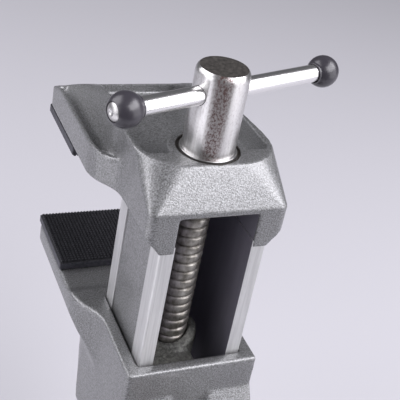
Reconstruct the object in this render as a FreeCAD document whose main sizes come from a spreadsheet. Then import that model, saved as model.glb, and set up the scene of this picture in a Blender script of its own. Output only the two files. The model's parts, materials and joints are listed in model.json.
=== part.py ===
"""Suction base vise: parametric model of every separate piece, in millimetres.

The row frame has its origin under the middle of the base, on the swivel axis,
with +Z up.  At rest the head is tilted 90 degrees: the spindle stands upright,
the slide's open side faces -Y and the jaws' tops face +Y.
Head pieces are drawn in the fixed jaw's own frame (origin at its mouth, on the
slide's open face) and moving pieces in the moving jaw's frame (origin at its
pad seat); both are then put in place with the same few sizes.
"""
import FreeCAD
import Part
import Sketcher
import math
import os
import re

Vec = FreeCAD.Vector
Turn = FreeCAD.Rotation

SIZES = [
    # jaws and slide
    ("jaw_width", 70.0, "width of both jaws"),
    ("jaw_reach", 100.0, "from the slide's open face to the jaws' tops"),
    ("mouth_gap", 51.2, "distance between the two pads at rest"),
    ("body_width", 53.0, "width of the castings round the slide"),
    ("tip_width", 35.0, "width of the jaws' spines at their tops"),
    ("wing_start", 24.0, "where the wings leave the casting's sides"),
    ("wing_full", 47.0, "where the wings reach the jaw's full width"),
    ("wing_corner", 3.0, "rounding of the wings' top corners"),
    ("rail_width", 42.0, "width of the slide over its legs"),
    ("rail_depth", 42.2, "depth of the slide from open face to back"),
    ("leg_wall", 5.8, "thickness of the slide's legs"),
    ("web_wall", 6.0, "thickness of the slide's web"),
    ("relief_near", 8.1, "first edge of the as-cast relief on the slide's sides"),
    ("relief_far", 34.4, "second edge of that relief"),
    ("relief_cut", 0.4, "depth of that relief"),
    ("slide_length", 79.0, "slide from the moving jaw's foot to its free end"),
    ("slide_gap", 0.25, "clearance between slide and fixed jaw"),
    # pads
    ("pad_wall", 4.3, "thickness of the jaw pads"),
    ("pad_height", 37.0, "height of the jaw pads"),
    ("pad_round", 1.2, "rounding of the pads' corners"),
    ("peg_radius", 3.0, "pegs on the backs of the pads"),
    ("peg_length", 4.0, "length of those pegs"),
    ("peg_pitch", 44.0, "distance between the two pegs"),
    ("peg_gap", 0.1, "clearance of a peg in its hole"),
    # moving jaw
    ("boss_top", 23.3, "moving jaw: from pad seat to the spindle boss's face"),
    ("brow_height", 14.0, "height of the sloping brow below that face"),
    ("brow_back", 8.3, "how far the brow leans back at its top"),
    ("brow_flat", 18.0, "straight middle of the brow's top edge"),
    ("end_wall", 16.0, "wall that the spindle passes through"),
    ("foot_drop", 6.8, "casting's foot below the pad seat"),
    ("foot_height", 0.5, "upright part of the foot, as wide as the slide"),
    ("spine_flat", 48.0, "where the jaw's spine starts to fall to its top"),
    ("spine_middle", 80.0, "middle station of that fall"),
    ("spine_shoulder", 24.7, "half the spine's top where it starts to fall"),
    ("spine_waist", 19.6, "half the spine's top at the middle station"),
    ("spine_tip", 17.0, "half the spine's top at its end"),
    ("spine_foot", 30.5, "half the spine's foot in the scoops"),
    ("spine_root", 37.0, "where the spine's foot reaches that width"),
    ("spine_flare", 1.0, "how far the spine's foot has spread half way there"),
    ("tip_wall", 8.3, "thickness of both jaws at their tops"),
    ("wing_depth", 12.8, "thickness of the moving jaw's wings"),
    ("wing_shoulder", 88.0, "where the wings' backs start to fall"),
    ("scoop_floor", 6.8, "thickness left under the scoops"),
    ("scoop_rim", 1.2, "rim left round the scoops"),
    ("scoop_draft", 1.6, "how far the scoops' sides slope inwards"),
    ("scoop_lean", 2.5, "slope of the scoops' fronts as a multiple of their sides'"),
    ("scoop_front", 37.8, "middle of the scoops' curved front"),
    ("scoop_corner", 5.0, "width of that curved front"),
    ("pocket_rim", 2.8, "rim round the two pockets"),
    ("pocket_tip", 18.5, "half the pockets' width at their far end"),
    ("pocket_start", 18.5, "near end of the pockets"),
    ("pocket_end", 95.7, "far end of the pockets"),
    ("pocket_ramp", 8.0, "length of the slope in the pockets' floor, behind the slide"),
    ("pocket_floor", 12.3, "pocket floor above the pad seat, over the slide"),
    ("pocket_deep", 6.3, "pocket floor above the pad seat, behind the jaw"),
    ("boss_radius", 14.7, "spindle boss between the pockets"),
    ("recess_radius", 11.2, "recess that the spindle's head sits in"),
    ("recess_depth", 1.0, "depth of that recess"),
    # spindle
    ("spindle_reach", 20.1, "from the slide's open face to the spindle's axis"),
    ("screw_radius", 6.0, "outside radius of the screw"),
    ("screw_length", 92.0, "screw from the collar groove to its free end"),
    ("shank_gap", 0.15, "clearance of the shank in the moving jaw"),
    ("head_radius", 9.5, "radius of the spindle's head"),
    ("head_height", 30.7, "height of the spindle's head"),
    ("head_chamfer", 1.1, "how far its rounded shoulder runs inwards"),
    ("head_shoulder", 2.4, "how far down that shoulder runs"),
    ("bar_height", 21.6, "cross hole above the head's underside"),
    ("bar_radius", 3.3, "radius of the tommy bar"),
    ("bar_gap", 0.15, "clearance of the bar in its hole"),
    ("bar_angle", 17.3, "direction of the bar at rest"),
    ("bar_shift", 6.2, "how far the bar is slid through at rest"),
    ("knob_distance", 90.0, "distance between the knobs' middles"),
    ("knob_radius", 6.0, "radius of the bar's knobs"),
    ("knob_neck", 3.8, "radius of the knobs' collars"),
    ("knob_collar", 5.4, "collar's end from the knob's middle"),
    ("bar_sink", 0.4, "bar's ends below the knobs' tops"),
    ("bar_dome", 1.1, "height of the bar's domed ends"),
    ("bar_crown", 4.6, "radius of those domes"),
    ("centre_radius", 1.2, "lathe centre in the bar's ends"),
    ("centre_depth", 0.8, "depth of that centre"),
    ("washer_radius", 10.4, "radius of the thrust washer"),
    ("washer_wall", 1.3, "thickness of the thrust washer"),
    ("clip_radius", 8.6, "radius of the spindle's retaining clip"),
    ("clip_wall", 1.5, "thickness of that clip"),
    ("groove_radius", 4.8, "groove that the clip sits in"),
    # fixed jaw
    ("jaw_length", 62.0, "fixed jaw along the slide"),
    ("near_wall", 5.2, "wall in front of the slide's open face"),
    ("seat_step", 2.1, "pad seat of the fixed jaw below its mouth"),
    ("wing_bottom", 12.0, "underside of the fixed jaw's wings"),
    ("wing_root", 27.0, "where the wings' undersides meet the sides"),
    ("wing_bevel", 2.0, "bevel under those wings"),
    ("web_start", 61.0, "where the webs under the wings start"),
    ("mouth_ramp", 46.0, "where the mouth starts to fall to the fixed pad seat"),
    ("mouth_ramp_run", 5.0, "length of that fall"),
    ("heel_step", 3.0, "how far the back stands out above its heel"),
    ("heel_height", 14.0, "height of the heel"),
    ("knee_out", 10.0, "knee under the jaw, out from its back"),
    ("knee_drop", 33.0, "knee below the mouth"),
    ("knee_hollow", 40.0, "radius of the hollow under the knee"),
    ("belly_hollow", 150.0, "radius of the hollow between knee and jaw top"),
    ("lug_out", 5.0, "how far the lugs stand out of the near wall"),
    ("lug_start", 13.5, "top edge of the lugs' ramps"),
    ("lug_ramp", 7.5, "height of those ramps"),
    ("lug_split", 7.5, "half the valley between the lugs"),
    ("valley_end", 31.0, "lower end of the valley"),
    # spindle nut
    ("nut_top", 6.0, "nut block below the fixed jaw's mouth"),
    ("nut_height", 27.0, "height of the nut block"),
    ("nut_left", 14.6, "nut block to the left of the spindle"),
    ("nut_right", 5.0, "nut block to the right of the spindle"),
    ("nut_boss", 10.0, "radius of the nut's round boss"),
    ("nut_mound", 6.5, "height of the cast mound on that boss"),
    ("nut_mound_shift", 5.5, "middle of the mound beside the spindle"),
    ("nut_mound_foot", 12.5, "radius of the mound at its foot"),
    ("nut_mound_top", 4.0, "radius of the mound at its top"),
    ("thread_gap", 0.3, "clearance of the plain screw in the nut"),
    ("nut_screw_drop", 27.0, "screw that holds the nut, below the mouth"),
    ("nut_screw_radius", 3.0, "radius of that screw"),
    ("nut_screw_head", 5.0, "radius of its head"),
    ("nut_screw_sink", 3.0, "depth of its counterbore"),
    ("nut_screw_grip", 6.0, "length of that screw inside the nut"),
    # ball joint
    ("ball_height", 96.0, "ball's middle above the table"),
    ("ball_radius", 18.0, "radius of the ball"),
    ("ball_gap", 0.2, "clearance round the ball"),
    ("neck_radius", 8.0, "radius of the ball's neck"),
    ("slide_reach", 40.0, "from the ball's middle to the slide's open face"),
    ("neck_drop", 45.0, "fixed jaw's mouth above the ball's middle at rest"),
    ("stud_radius", 5.0, "threaded end of the ball stud"),
    ("stud_gap", 0.1, "clearance of the stud in the fixed jaw"),
    ("stud_nut_flat", 8.0, "half the width of the stud's nut over its flats"),
    ("stud_nut_wall", 4.5, "thickness of the stud's nut"),
    ("stud_washer_wall", 1.2, "thickness of the stud's washer"),
    ("stud_washer_radius", 10.0, "radius of the stud's washer"),
    # turret
    ("turret_radius", 27.0, "radius of the turret's column"),
    ("turret_top", 11.0, "turret's rim above the ball's middle"),
    ("cheek_ledge", 56.0, "ledge that the clamp cheek stands on"),
    ("cheek_gap", 0.6, "half the gap between the two cheeks"),
    ("neck_gap", 0.6, "clearance between the neck and its slot"),
    ("flange_radius", 34.0, "radius of the turret's flange"),
    ("flange_wall", 8.0, "thickness of the turret's flange"),
    ("turret_edge", 2.0, "chamfers of the turret"),
    ("clamp_drop", 26.0, "clamp bolt below the ball's middle"),
    ("clamp_radius", 4.0, "radius of the clamp bolt"),
    ("clamp_gap", 0.2, "clearance of that bolt in the cheeks"),
    ("spot_face", 23.5, "spot faces of the clamp bolt from the middle"),
    ("spot_radius", 10.0, "radius of those spot faces"),
    ("dowel_radius", 2.5, "dowels between turret and cheek"),
    ("dowel_pitch", 30.0, "distance between the two dowels"),
    ("dowel_drop", 33.0, "dowels below the ball's middle"),
    ("dowel_length", 24.0, "length of the dowels"),
    ("lever_hub", 9.0, "radius of the clamp lever's hub"),
    ("lever_hub_wall", 11.0, "length of the clamp lever's hub"),
    ("clamp_arm", 38.0, "clamp lever from its axis to its knob"),
    ("clamp_arm_radius", 3.6, "radius of the clamp lever's arm"),
    ("arm_inset", 0.2, "arm's side inside the outer face of the hub"),
    ("clamp_knob_radius", 6.5, "radius of the clamp lever's grip"),
    ("clamp_knob_length", 22.0, "length of that grip"),
    ("clamp_knob_dome", 3.5, "rounding of its end"),
    ("clamp_knob_end", 4.0, "solid end of that grip"),
    ("clamp_washer_wall", 1.6, "thickness of the clamp washer"),
    ("bolt_head_wall", 4.8, "height of the clamp bolt's head"),
    ("bolt_head_flat", 6.5, "half its width over the flats"),
    # base
    ("base_radius", 60.0, "radius of the base cover's foot"),
    ("base_top", 42.0, "base cover's top above the table"),
    ("base_rim", 9.0, "height of the upright rim of the cover"),
    ("base_neck", 37.0, "radius of the cover's top"),
    ("base_lip", 3.0, "chamfer round the cover's top"),
    ("base_sweep", 90.0, "radius of the cover's hollow flank"),
    ("base_wall", 3.6, "wall of the base cover"),
    ("deck_wall", 5.5, "wall under the turret"),
    ("swivel_radius", 5.0, "radius of the swivel bolt"),
    ("swivel_gap", 0.2, "clearance of that bolt in the cover"),
    ("swivel_grip", 13.0, "length of that bolt in the turret"),
    ("swivel_head_radius", 9.0, "radius of the swivel bolt's head"),
    ("swivel_head_wall", 4.5, "height of that head"),
    ("swivel_washer_radius", 14.0, "radius of the swivel washer"),
    ("swivel_washer_wall", 1.5, "thickness of the swivel washer"),
    ("turning_gap", 0.1, "clearance under the turret and over the washer"),
    ("cup_radius", 62.0, "radius of the suction cup"),
    ("cup_wall", 3.0, "thickness of the cup at its rim"),
    ("cup_dish", 0.9, "hollow under the cup"),
    ("cup_pad", 30.0, "radius of the flat middle of the cup's underside"),
    ("cup_lip", 10.0, "width of the cup's flat lip"),
    ("cup_ramp", 3.0, "run of the slopes on the cup"),
    ("cup_centre", 5.0, "height of the cup's middle"),
    ("plate_radius", 26.0, "radius of the pull plate"),
    ("plate_wall", 2.0, "thickness of the pull plate"),
    ("eye_width", 12.0, "pull stud across the cam shaft"),
    ("eye_depth", 24.0, "pull stud along the cam's throw"),
    ("eye_wall", 4.0, "wall over the slot in the pull stud"),
    ("eye_gap", 0.2, "clearance of the cam pin in its slot"),
    ("cam_height", 19.5, "cam shaft's axis above the table"),
    ("cam_throw", 3.5, "eccentricity of the cam pin"),
    ("cam_pin_radius", 4.0, "radius of the cam pin and the shaft's tail"),
    ("cam_radius", 8.0, "radius of the cam shaft's journal"),
    ("cam_gap", 0.1, "clearance of the cam shaft in its bearings"),
    ("cam_web", 2.0, "from the pull stud to the cam shaft's thick parts"),
    ("cam_play", 0.3, "end play of the cam shaft"),
    ("cam_swing", 60.0, "angle that the cam lever turns through"),
    ("hub_radius", 12.0, "radius of the bearing hubs in the cover"),
    ("hub_inner", 36.0, "inner ends of those hubs from the middle"),
    ("hub_stand", 2.0, "how far the cam hub stands out of the base"),
    ("tail_inset", 10.0, "end of the cam shaft's tail inside the base's foot"),
    ("cam_clip_radius", 10.5, "radius of the cam shaft's clip"),
    ("cam_clip_wall", 1.2, "thickness of that clip"),
    ("cam_groove", 6.6, "groove under that clip"),
    ("lever_gap", 0.5, "gap between that hub and the cam lever"),
    ("lever_wall", 7.0, "thickness of the cam lever"),
    ("lever_head", 11.5, "radius of the cam lever's head"),
    ("lever_length", 44.0, "cam lever from its axis to its end"),
    ("lever_rise", 50.0, "cam lever above the horizontal at rest"),
    ("lever_root", 6.9, "half the height of the lever's arm at its axis"),
    ("lever_tip", 3.5, "half the height of the lever's arm at its end"),
    ("grip_radius", 5.5, "radius of the cam lever's grip"),
    ("grip_length", 26.0, "length of that grip"),
    ("grip_over", 3.0, "grip past the end of the lever"),
    ("lever_screw_radius", 2.5, "screw that holds the cam lever"),
    ("lever_screw_head", 5.0, "radius of its head"),
    ("lever_screw_wall", 3.0, "height of its head"),
    ("lever_screw_grip", 12.0, "length of that screw in the shaft"),
    # edges and fits
    ("soft_edge", 1.5, "rounding of the castings' long edges"),
    ("small_edge", 0.6, "chamfers of the turned parts' ends"),
    ("fixed_fit", 0.02, "clearance of pieces that are fixed together"),
    ("spare", 1.0, "how far a cutting tool runs past the face that it opens"),
    ("socket_width", 0.8, "half a hexagon socket's width as a share of its screw's radius"),
    ("socket_floor", 0.4, "metal under a socket as a share of its head"),
    ("clip_opening", 0.7, "half the opening of a retaining clip as a share of its groove"),
]

doc = FreeCAD.newDocument("suction_base_vise")
sheet = doc.addObject("Spreadsheet::Sheet", "sizes")
for row, (alias, number, meaning) in enumerate(SIZES, 1):
    sheet.set(f"A{row}", meaning)
    sheet.set(f"B{row}", str(number))
    sheet.setAlias(f"B{row}", alias)
doc.recompute()

ALIASES = {alias for alias, number, meaning in SIZES}
WORD = re.compile(r"[a-z][a-z_]*")
ONE_MM = 1.0
sub_parts = []


def bound(text):
    """The sheet's expression for a formula written with plain size names."""
    return WORD.sub(lambda m: "sizes." + m.group(0) if m.group(0) in ALIASES else m.group(0), text)


def number(text):
    """The value of such a formula now."""
    result = sheet.evalExpression(bound(text))
    return float(getattr(result, "Value", result))


def place(piece, x="0", y="0", z="0"):
    for axis, text in (("x", x), ("y", y), ("z", z)):
        piece.setExpression(f"Placement.Base.{axis}", bound(text))
    return piece


def tie(piece, **formulas):
    for prop, text in formulas.items():
        piece.setExpression(prop, bound(text))
    return piece


# ---------------------------------------------------------------- primitives

def box(name, x, y, z):
    """A box between two formulas on each axis."""
    piece = doc.addObject("Part::Box", name)
    tie(piece, Length=f"({x[1]}) - ({x[0]})", Width=f"({y[1]}) - ({y[0]})", Height=f"({z[1]}) - ({z[0]})")
    return place(piece, x[0], y[0], z[0])


ALONG = {"x": Turn(Vec(0, 1, 0), 90), "y": Turn(Vec(1, 0, 0), -90), "z": Turn()}


def rod(name, radius, length, x="0", y="0", z="0", along="z"):
    piece = doc.addObject("Part::Cylinder", name)
    piece.Placement.Rotation = ALONG[along]
    tie(piece, Radius=radius, Height=length)
    return place(piece, x, y, z)


def frustum(name, lower, upper, height, x="0", y="0", z="0"):
    piece = doc.addObject("Part::Cone", name)
    tie(piece, Radius1=lower, Radius2=upper, Height=height)
    return place(piece, x, y, z)


def sphere(name, radius, x="0", y="0", z="0"):
    piece = doc.addObject("Part::Sphere", name)
    tie(piece, Radius=radius)
    return place(piece, x, y, z)


def fuse(name, *pieces):
    joined = doc.addObject("Part::MultiFuse", name)
    joined.Shapes = list(pieces)
    return joined


def meet(name, *pieces):
    shared = doc.addObject("Part::MultiCommon", name)
    shared.Shapes = list(pieces)
    return shared


def cut(name, piece, *tools):
    rest = doc.addObject("Part::Cut", name)
    rest.Base = piece
    rest.Tool = tools[0] if len(tools) == 1 else fuse(name + "_tools", *tools)
    return rest


def mirrored(name, piece):
    """The same piece on the other side of the plane X = 0."""
    twin = doc.addObject("Part::Mirroring", name)
    twin.Source = piece
    twin.Normal = Vec(1, 0, 0)
    return twin


def rounded(name, piece, radius, wanted):
    """Fillet the edges that wanted(edge) picks."""
    doc.recompute()
    soft = doc.addObject("Part::Fillet", name)
    soft.Base = piece
    value = number(radius)
    picks = [i for i, edge in enumerate(piece.Shape.Edges, 1) if wanted(edge)]
    soft.Edges = [(i, value, value) for i in picks]
    return soft


# ------------------------------------------------------------------ sketches

SKETCH_PLANES = {
    "XY": Turn(),
    "XZ": Turn(Vec(1, 0, 0), 90),
    "YZ": Turn(0.5, 0.5, 0.5, 0.5),
}


def arc_between(start, end, radius, left):
    """Arc over a chord, run anticlockwise as a sketch needs it; its middle
    lies to the left of the way from start to end, or to the right."""
    chord = end - start
    half = chord.Length / 2
    side = Vec(-chord.y, chord.x, 0).normalize() * math.sqrt(max(radius ** 2 - half ** 2, 0.0))
    centre = (start + end) / 2 + (side * -1 if left else side)
    first, last = (end, start) if left else (start, end)
    angles = [math.atan2(p.y - centre.y, p.x - centre.x) for p in (first, last)]
    if angles[1] < angles[0]:
        angles[1] += 2 * math.pi
    return Part.ArcOfCircle(Part.Circle(centre, Vec(0, 0, 1), radius), *angles)


def draw(sketch, points):
    """Closed outline. A point is (x, y), or (x, y, radius, left) where an arc
    of that radius, bulging left or right of the way, leads to it."""
    places = [Vec(number(p[0]), number(p[1]), 0) for p in points]
    for i, point in enumerate(points):
        start, end = places[i - 1], places[i]
        if len(point) == 2:
            sketch.addGeometry(Part.LineSegment(start, end), False)
        else:
            sketch.addGeometry(arc_between(start, end, number(point[2]), point[3]), False)
    backwards = [len(point) > 2 and point[3] for point in points]
    for i, point in enumerate(points):
        end = 1 if backwards[i] else 2
        after = (i + 1) % len(points)
        sketch.addConstraint(Sketcher.Constraint("Coincident", i, end, after, 2 if backwards[after] else 1))
        for kind, text, axis in (("DistanceX", point[0], -2), ("DistanceY", point[1], -1)):
            if text == "0":
                sketch.addConstraint(Sketcher.Constraint("PointOnObject", i, end, axis))
                continue
            where = sketch.addConstraint(Sketcher.Constraint(kind, i, end, number(text)))
            sketch.setExpression(f"Constraints[{where}]", bound(text))
        if len(point) > 2:
            where = sketch.addConstraint(Sketcher.Constraint("Radius", i, number(point[2])))
            sketch.setExpression(f"Constraints[{where}]", bound(point[2]))


def prism(name, plane, points, start, length):
    """An outline pushed through a length, square to its plane."""
    sketch = doc.addObject("Sketcher::SketchObject", name + "_outline")
    sketch.Placement.Rotation = SKETCH_PLANES[plane]
    draw(sketch, points)
    solid = doc.addObject("Part::Extrusion", name)
    solid.Base = sketch
    solid.DirMode = "Custom"
    solid.Dir = {"XY": Vec(0, 0, 1), "XZ": Vec(0, 1, 0), "YZ": Vec(1, 0, 0)}[plane]
    solid.Solid = True
    tie(solid, LengthFwd=length)
    return place(solid, **{{"XY": "z", "XZ": "y", "YZ": "x"}[plane]: start})


def origin_plane(body, role):
    return next(f for f in body.Origin.OriginFeatures if f.Role == role)


def turned(name, points):
    """A lathe-turned piece: a half outline (radius, height) round Z."""
    body = doc.addObject("PartDesign::Body", name)
    sketch = body.newObject("Sketcher::SketchObject", name + "_profile")
    sketch.AttachmentSupport = (origin_plane(body, "XZ_Plane"), [""])
    sketch.MapMode = "FlatFace"
    draw(sketch, points)
    spin = body.newObject("PartDesign::Revolution", name + "_turn")
    spin.Profile = sketch
    spin.ReferenceAxis = (sketch, ["V_Axis"])
    spin.Angle = 360
    body.Tip = spin
    return body


def padded(name, points, length):
    """A plate: an outline in X and Y, thick along Z."""
    body = doc.addObject("PartDesign::Body", name)
    sketch = body.newObject("Sketcher::SketchObject", name + "_outline")
    sketch.AttachmentSupport = (origin_plane(body, "XY_Plane"), [""])
    sketch.MapMode = "FlatFace"
    draw(sketch, points)
    pad = body.newObject("PartDesign::Pad", name + "_pad")
    pad.Profile = sketch
    pad.setExpression("Length", bound(length))
    body.Tip = pad
    return body


def ring(name, inner, outer, wall):
    return turned(name, [(inner, "0"), (outer, "0"), (outer, wall), (inner, wall)])


def hexagon(name, flat, wall):
    """A hexagonal prism; flat is half its width over the flats."""
    corner = f"({flat}) / cos(30deg)"
    points = [(corner, "0"), (f"{corner} / 2", flat), (f"-{corner} / 2", flat),
              (f"-{corner}", "0"), (f"-{corner} / 2", f"-({flat})"), (f"{corner} / 2", f"-({flat})")]
    return padded(name, points, wall)


# ------------------------------------------------------------------- placing

RIM_HEIGHT = "ball_height + neck_drop"
SEAT_HEIGHT = "ball_height + neck_drop - seat_step + 2 * pad_wall + mouth_gap"
HALF_BODY = "body_width / 2"
HALF_TIP = "tip_width / 2"
HALF_JAW = "jaw_width / 2"
HALF_RAIL = "rail_width / 2"
CHANNEL = "rail_width / 2 - leg_wall"
RAIL_BACK = "rail_depth"
HUB_END = "base_radius + hub_stand"
TAIL_END = "base_radius - tail_inset"


def keep(name, piece, x="0", y="0", z="0", turn=None):
    """Name a finished sub-part and put it in the row frame."""
    piece.Label = name
    if turn is not None:
        piece.Placement.Rotation = turn
    place(piece, x, y, z)
    sub_parts.append(piece)
    return piece


def keep_on_head(name, piece, x="0", y="0", z="0", turn=None):
    return keep(name, piece, x, f"slide_reach + ({y})", f"{RIM_HEIGHT} + ({z})", turn)


def keep_on_slide(name, piece, x="0", y="0", z="0", turn=None):
    return keep(name, piece, x, f"slide_reach + ({y})", f"{SEAT_HEIGHT} + ({z})", turn)


# ---------------------------------------------------------- shared jaw forms

def wing_plan(name, start, length):
    """Both jaws seen along the spindle: S-shaped flanks out to the full width."""
    middle = f"({HALF_BODY} + {HALF_JAW}) / 2"
    halfway = "(wing_start + wing_full) / 2"
    run = "(wing_full - wing_start)"
    rise = f"({HALF_JAW} - {HALF_BODY})"
    bend = f"({run} ^ 2 + {rise} ^ 2) / (4 * {rise})"
    flank = "jaw_reach - wing_corner"
    right = [
        (HALF_BODY, "wing_start"),
        (middle, halfway, bend, True),
        (HALF_JAW, "wing_full", bend, False),
        (HALF_JAW, flank),
        (f"{HALF_JAW} - wing_corner", "jaw_reach", "wing_corner", False),
    ]
    left = [
        (f"-({HALF_JAW} - wing_corner)", "jaw_reach"),
        (f"-({HALF_JAW})", flank, "wing_corner", False),
        (f"-({HALF_JAW})", "wing_full"),
        (f"-({middle})", halfway, bend, False),
        (f"-({HALF_BODY})", "wing_start", bend, True),
    ]
    return prism(name, "XY", right + left, start, length)


def spine_plan(name, inset, near, far, start, length):
    """The middle of a jaw, narrowing towards its top."""
    wide = f"{HALF_BODY} - ({inset})"
    slim = f"{HALF_TIP} - ({inset})"
    points = [(wide, near), (wide, "spine_flat"), (slim, far),
              (f"-({slim})", far), (f"-({wide})", "spine_flat"), (f"-({wide})", near)]
    return prism(name, "XY", points, start, length)


def peg_holes(name, seat):
    """Two blind holes for a pad's pegs, below or above the seat plane."""
    holes = []
    for side in (-1, 1):
        holes.append(rod(f"{name}_{side + 2}", "peg_radius + peg_gap", "peg_length + spare", f"{side} * peg_pitch / 2",
                         "jaw_reach - pad_height / 2", seat))
    return holes


# ---------------------------------------------------------------- moving jaw

def make_moving_jaw():
    top = "boss_top"
    brow_foot = "boss_top - brow_height"
    reach = "spine_flat"
    corner = f"{HALF_BODY} - brow_flat / 2"
    foot_round = "soft_edge * 2"
    low = [(HALF_BODY, reach), (f"-({HALF_BODY})", reach), (f"-({HALF_BODY})", foot_round),
           (f"-({HALF_BODY}) + {foot_round}", "0", foot_round, False),
           (f"{HALF_BODY} - {foot_round}", "0"), (HALF_BODY, foot_round, foot_round, False)]
    high = [("spine_shoulder", reach), ("-spine_shoulder", reach), (f"-({HALF_BODY})", f"brow_back + {corner}"),
            ("-brow_flat / 2", "brow_back", corner, False),
            ("brow_flat / 2", "brow_back"), (HALF_BODY, f"brow_back + {corner}", corner, False)]
    sections = []
    for name, points, level in (("brow_low", low, brow_foot), ("brow_high", high, top)):
        sketch = doc.addObject("Sketcher::SketchObject", name)
        draw(sketch, points)
        sections.append(place(sketch, z=level))
    brow = lofted("brow", sections)
    slope_foot = "-(foot_drop - foot_height)"
    shoulders = prism("shoulders", "XZ", [
        (HALF_BODY, brow_foot), (f"-({HALF_BODY})", brow_foot), (f"-({HALF_BODY})", "0"),
        (f"-({HALF_RAIL})", slope_foot), (f"-({HALF_RAIL})", "-foot_drop"), (HALF_RAIL, "-foot_drop"),
        (HALF_RAIL, slope_foot), (HALF_BODY, "0")], "0", RAIL_BACK)
    front = prism("front_plan", "XY", low, "-foot_drop", f"foot_drop + {brow_foot}")
    shoulders = meet("shoulders_round", shoulders, front)
    fall = "(jaw_reach - spine_flat)"
    drop = "(boss_top - tip_wall)"
    sweep = f"({fall} ^ 2 + {drop} ^ 2) / (2 * {drop})"
    side = prism("spine_side", "YZ", [
        ("wing_start", "0"), ("jaw_reach", "0"), ("jaw_reach", "tip_wall"),
        ("spine_flat", top, sweep, False), ("wing_start", top)], f"-({HALF_JAW})", "jaw_width")
    root = "(wing_start + spine_root) / 2"
    slopes = layered("spine_slopes", [
        ("scoop_floor", [("wing_start", HALF_BODY), (root, f"{HALF_BODY} + spine_flare"), ("spine_root", "spine_foot"),
                         ("spine_middle", "spine_foot"), ("jaw_reach", "spine_foot")]),
        (top, [("wing_start", HALF_BODY), (root, HALF_BODY), ("spine_flat", "spine_shoulder"),
               ("spine_middle", "spine_waist"), ("jaw_reach", "spine_tip")])])
    spine = meet("spine", side, slopes)
    wing_side = prism("wing_side", "YZ", [
        ("wing_start", "0"), ("jaw_reach", "0"), ("jaw_reach", "tip_wall"),
        ("wing_shoulder", "wing_depth"), ("wing_start", "wing_depth")], f"-({HALF_JAW})", "jaw_width")
    wings = meet("wings", wing_side, wing_plan("wing_plan", "0", "wing_depth"))
    scoop = make_scoop()
    wings = cut("scooped_wings", wings, scoop, mirrored("scoop_twin", scoop))
    outer = box("slide_outer", (f"-({HALF_RAIL})", HALF_RAIL), ("0", RAIL_BACK),
                ("-(foot_drop + slide_length)", brow_foot))
    casting = fuse("moving_casting", brow, shoulders, spine, wings, outer)
    channel = box("channel", (f"-({CHANNEL})", CHANNEL), ("-spare", "rail_depth - web_wall"),
                  ("-(foot_drop + slide_length + spare)", "boss_top - end_wall"))
    reliefs = []
    for side_name, low_x, high_x in (("right", f"{HALF_RAIL} - relief_cut", f"{HALF_RAIL} + spare"),
                                     ("left", f"-({HALF_RAIL}) - spare", f"-({HALF_RAIL}) + relief_cut")):
        reliefs.append(box(f"relief_{side_name}", (low_x, high_x), ("relief_near", "relief_far"),
                           ("-(foot_drop + slide_length + spare)", "-foot_drop")))
    pocket_side = prism("pocket_side", "YZ", [
        ("pocket_start", "pocket_floor"), (f"{RAIL_BACK} + spare", "pocket_floor"),
        (f"{RAIL_BACK} + pocket_ramp", "pocket_deep"), ("pocket_end", "pocket_deep"),
        ("pocket_end", "boss_top + spare"), ("pocket_start", "boss_top + spare")],
        f"-({HALF_BODY})", "body_width")
    wide = f"{HALF_BODY} - pocket_rim"
    pocket_plan = prism("pocket_plan", "XY", [
        (wide, "pocket_start"), (wide, "spine_flat"), ("pocket_tip", "pocket_end"),
        ("-pocket_tip", "pocket_end"), (f"-({wide})", "spine_flat"), (f"-({wide})", "pocket_start")],
        "0", "boss_top + spare * 2")
    pocket = meet("pocket", pocket_side, pocket_plan)
    pocket = rounded("pocket_round", pocket, "soft_edge * 2",
                     lambda e: upright(e) and abs(e.CenterOfMass.y - number("pocket_start")) < ONE_MM)
    boss = rod("boss", "boss_radius", "boss_top + spare * 2", y="spindle_reach")
    pocket = cut("pockets", pocket, boss)
    bore = rod("spindle_bore", "screw_radius + shank_gap", "end_wall + spare * 2", y="spindle_reach",
               z="boss_top - end_wall - spare")
    recess = rod("head_recess", "recess_radius", "recess_depth + spare", y="spindle_reach", z="boss_top - recess_depth")
    casting = cut("moving_jaw_cut", casting, channel, pocket, bore, recess, *reliefs,
                  *peg_holes("moving_peg_hole", "-spare"))
    keep_on_slide("moving_jaw", casting)


def layered(name, levels):
    """A form between symmetrical plans at two levels; a plan lists (y, half width)."""
    sketches = []
    for i, (level, stations) in enumerate(levels):
        right = [(half, y) for y, half in stations]
        left = [(f"-({half})", y) for y, half in reversed(stations)]
        sketch = doc.addObject("Sketcher::SketchObject", f"{name}_{i}")
        draw(sketch, right + left)
        sketches.append(place(sketch, z=level))
    return lofted(name, sketches)


def lofted(name, sketches):
    form = doc.addObject("Part::Loft", name)
    form.Sections = sketches
    form.Solid = True
    form.Ruled = True
    return form


def make_scoop():
    """The hollow in the back of a wing: a plan on its floor, a wider one above."""
    over = "wing_depth + spare"
    inside = f"{HALF_TIP} + spare"
    sketches = []
    for name, level, inset in (("scoop_low", "scoop_floor", "(scoop_rim + scoop_draft)"), ("scoop_high", over, "scoop_rim")):
        edge = f"{HALF_JAW} - {inset}"
        front = f"({inset} - scoop_rim) * scoop_lean + scoop_front"
        sketch = doc.addObject("Sketcher::SketchObject", name)
        draw(sketch, [
            (inside, f"{front} - scoop_corner"), (f"{edge} - scoop_corner", f"{front} - scoop_corner"),
            (f"{edge} - scoop_corner / 2", front), (edge, f"{front} + scoop_corner * 1.6"),
            (edge, f"jaw_reach - {inset}"), (inside, f"jaw_reach - {inset}")])
        sketches.append(place(sketch, z=level))
    return lofted("scoop", sketches)


def upright(edge):
    return edge.Curve.TypeId == "Part::GeomLine" and abs(edge.tangentAt(edge.FirstParameter).z) > 0.999


# ----------------------------------------------------------------- fixed jaw

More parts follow.
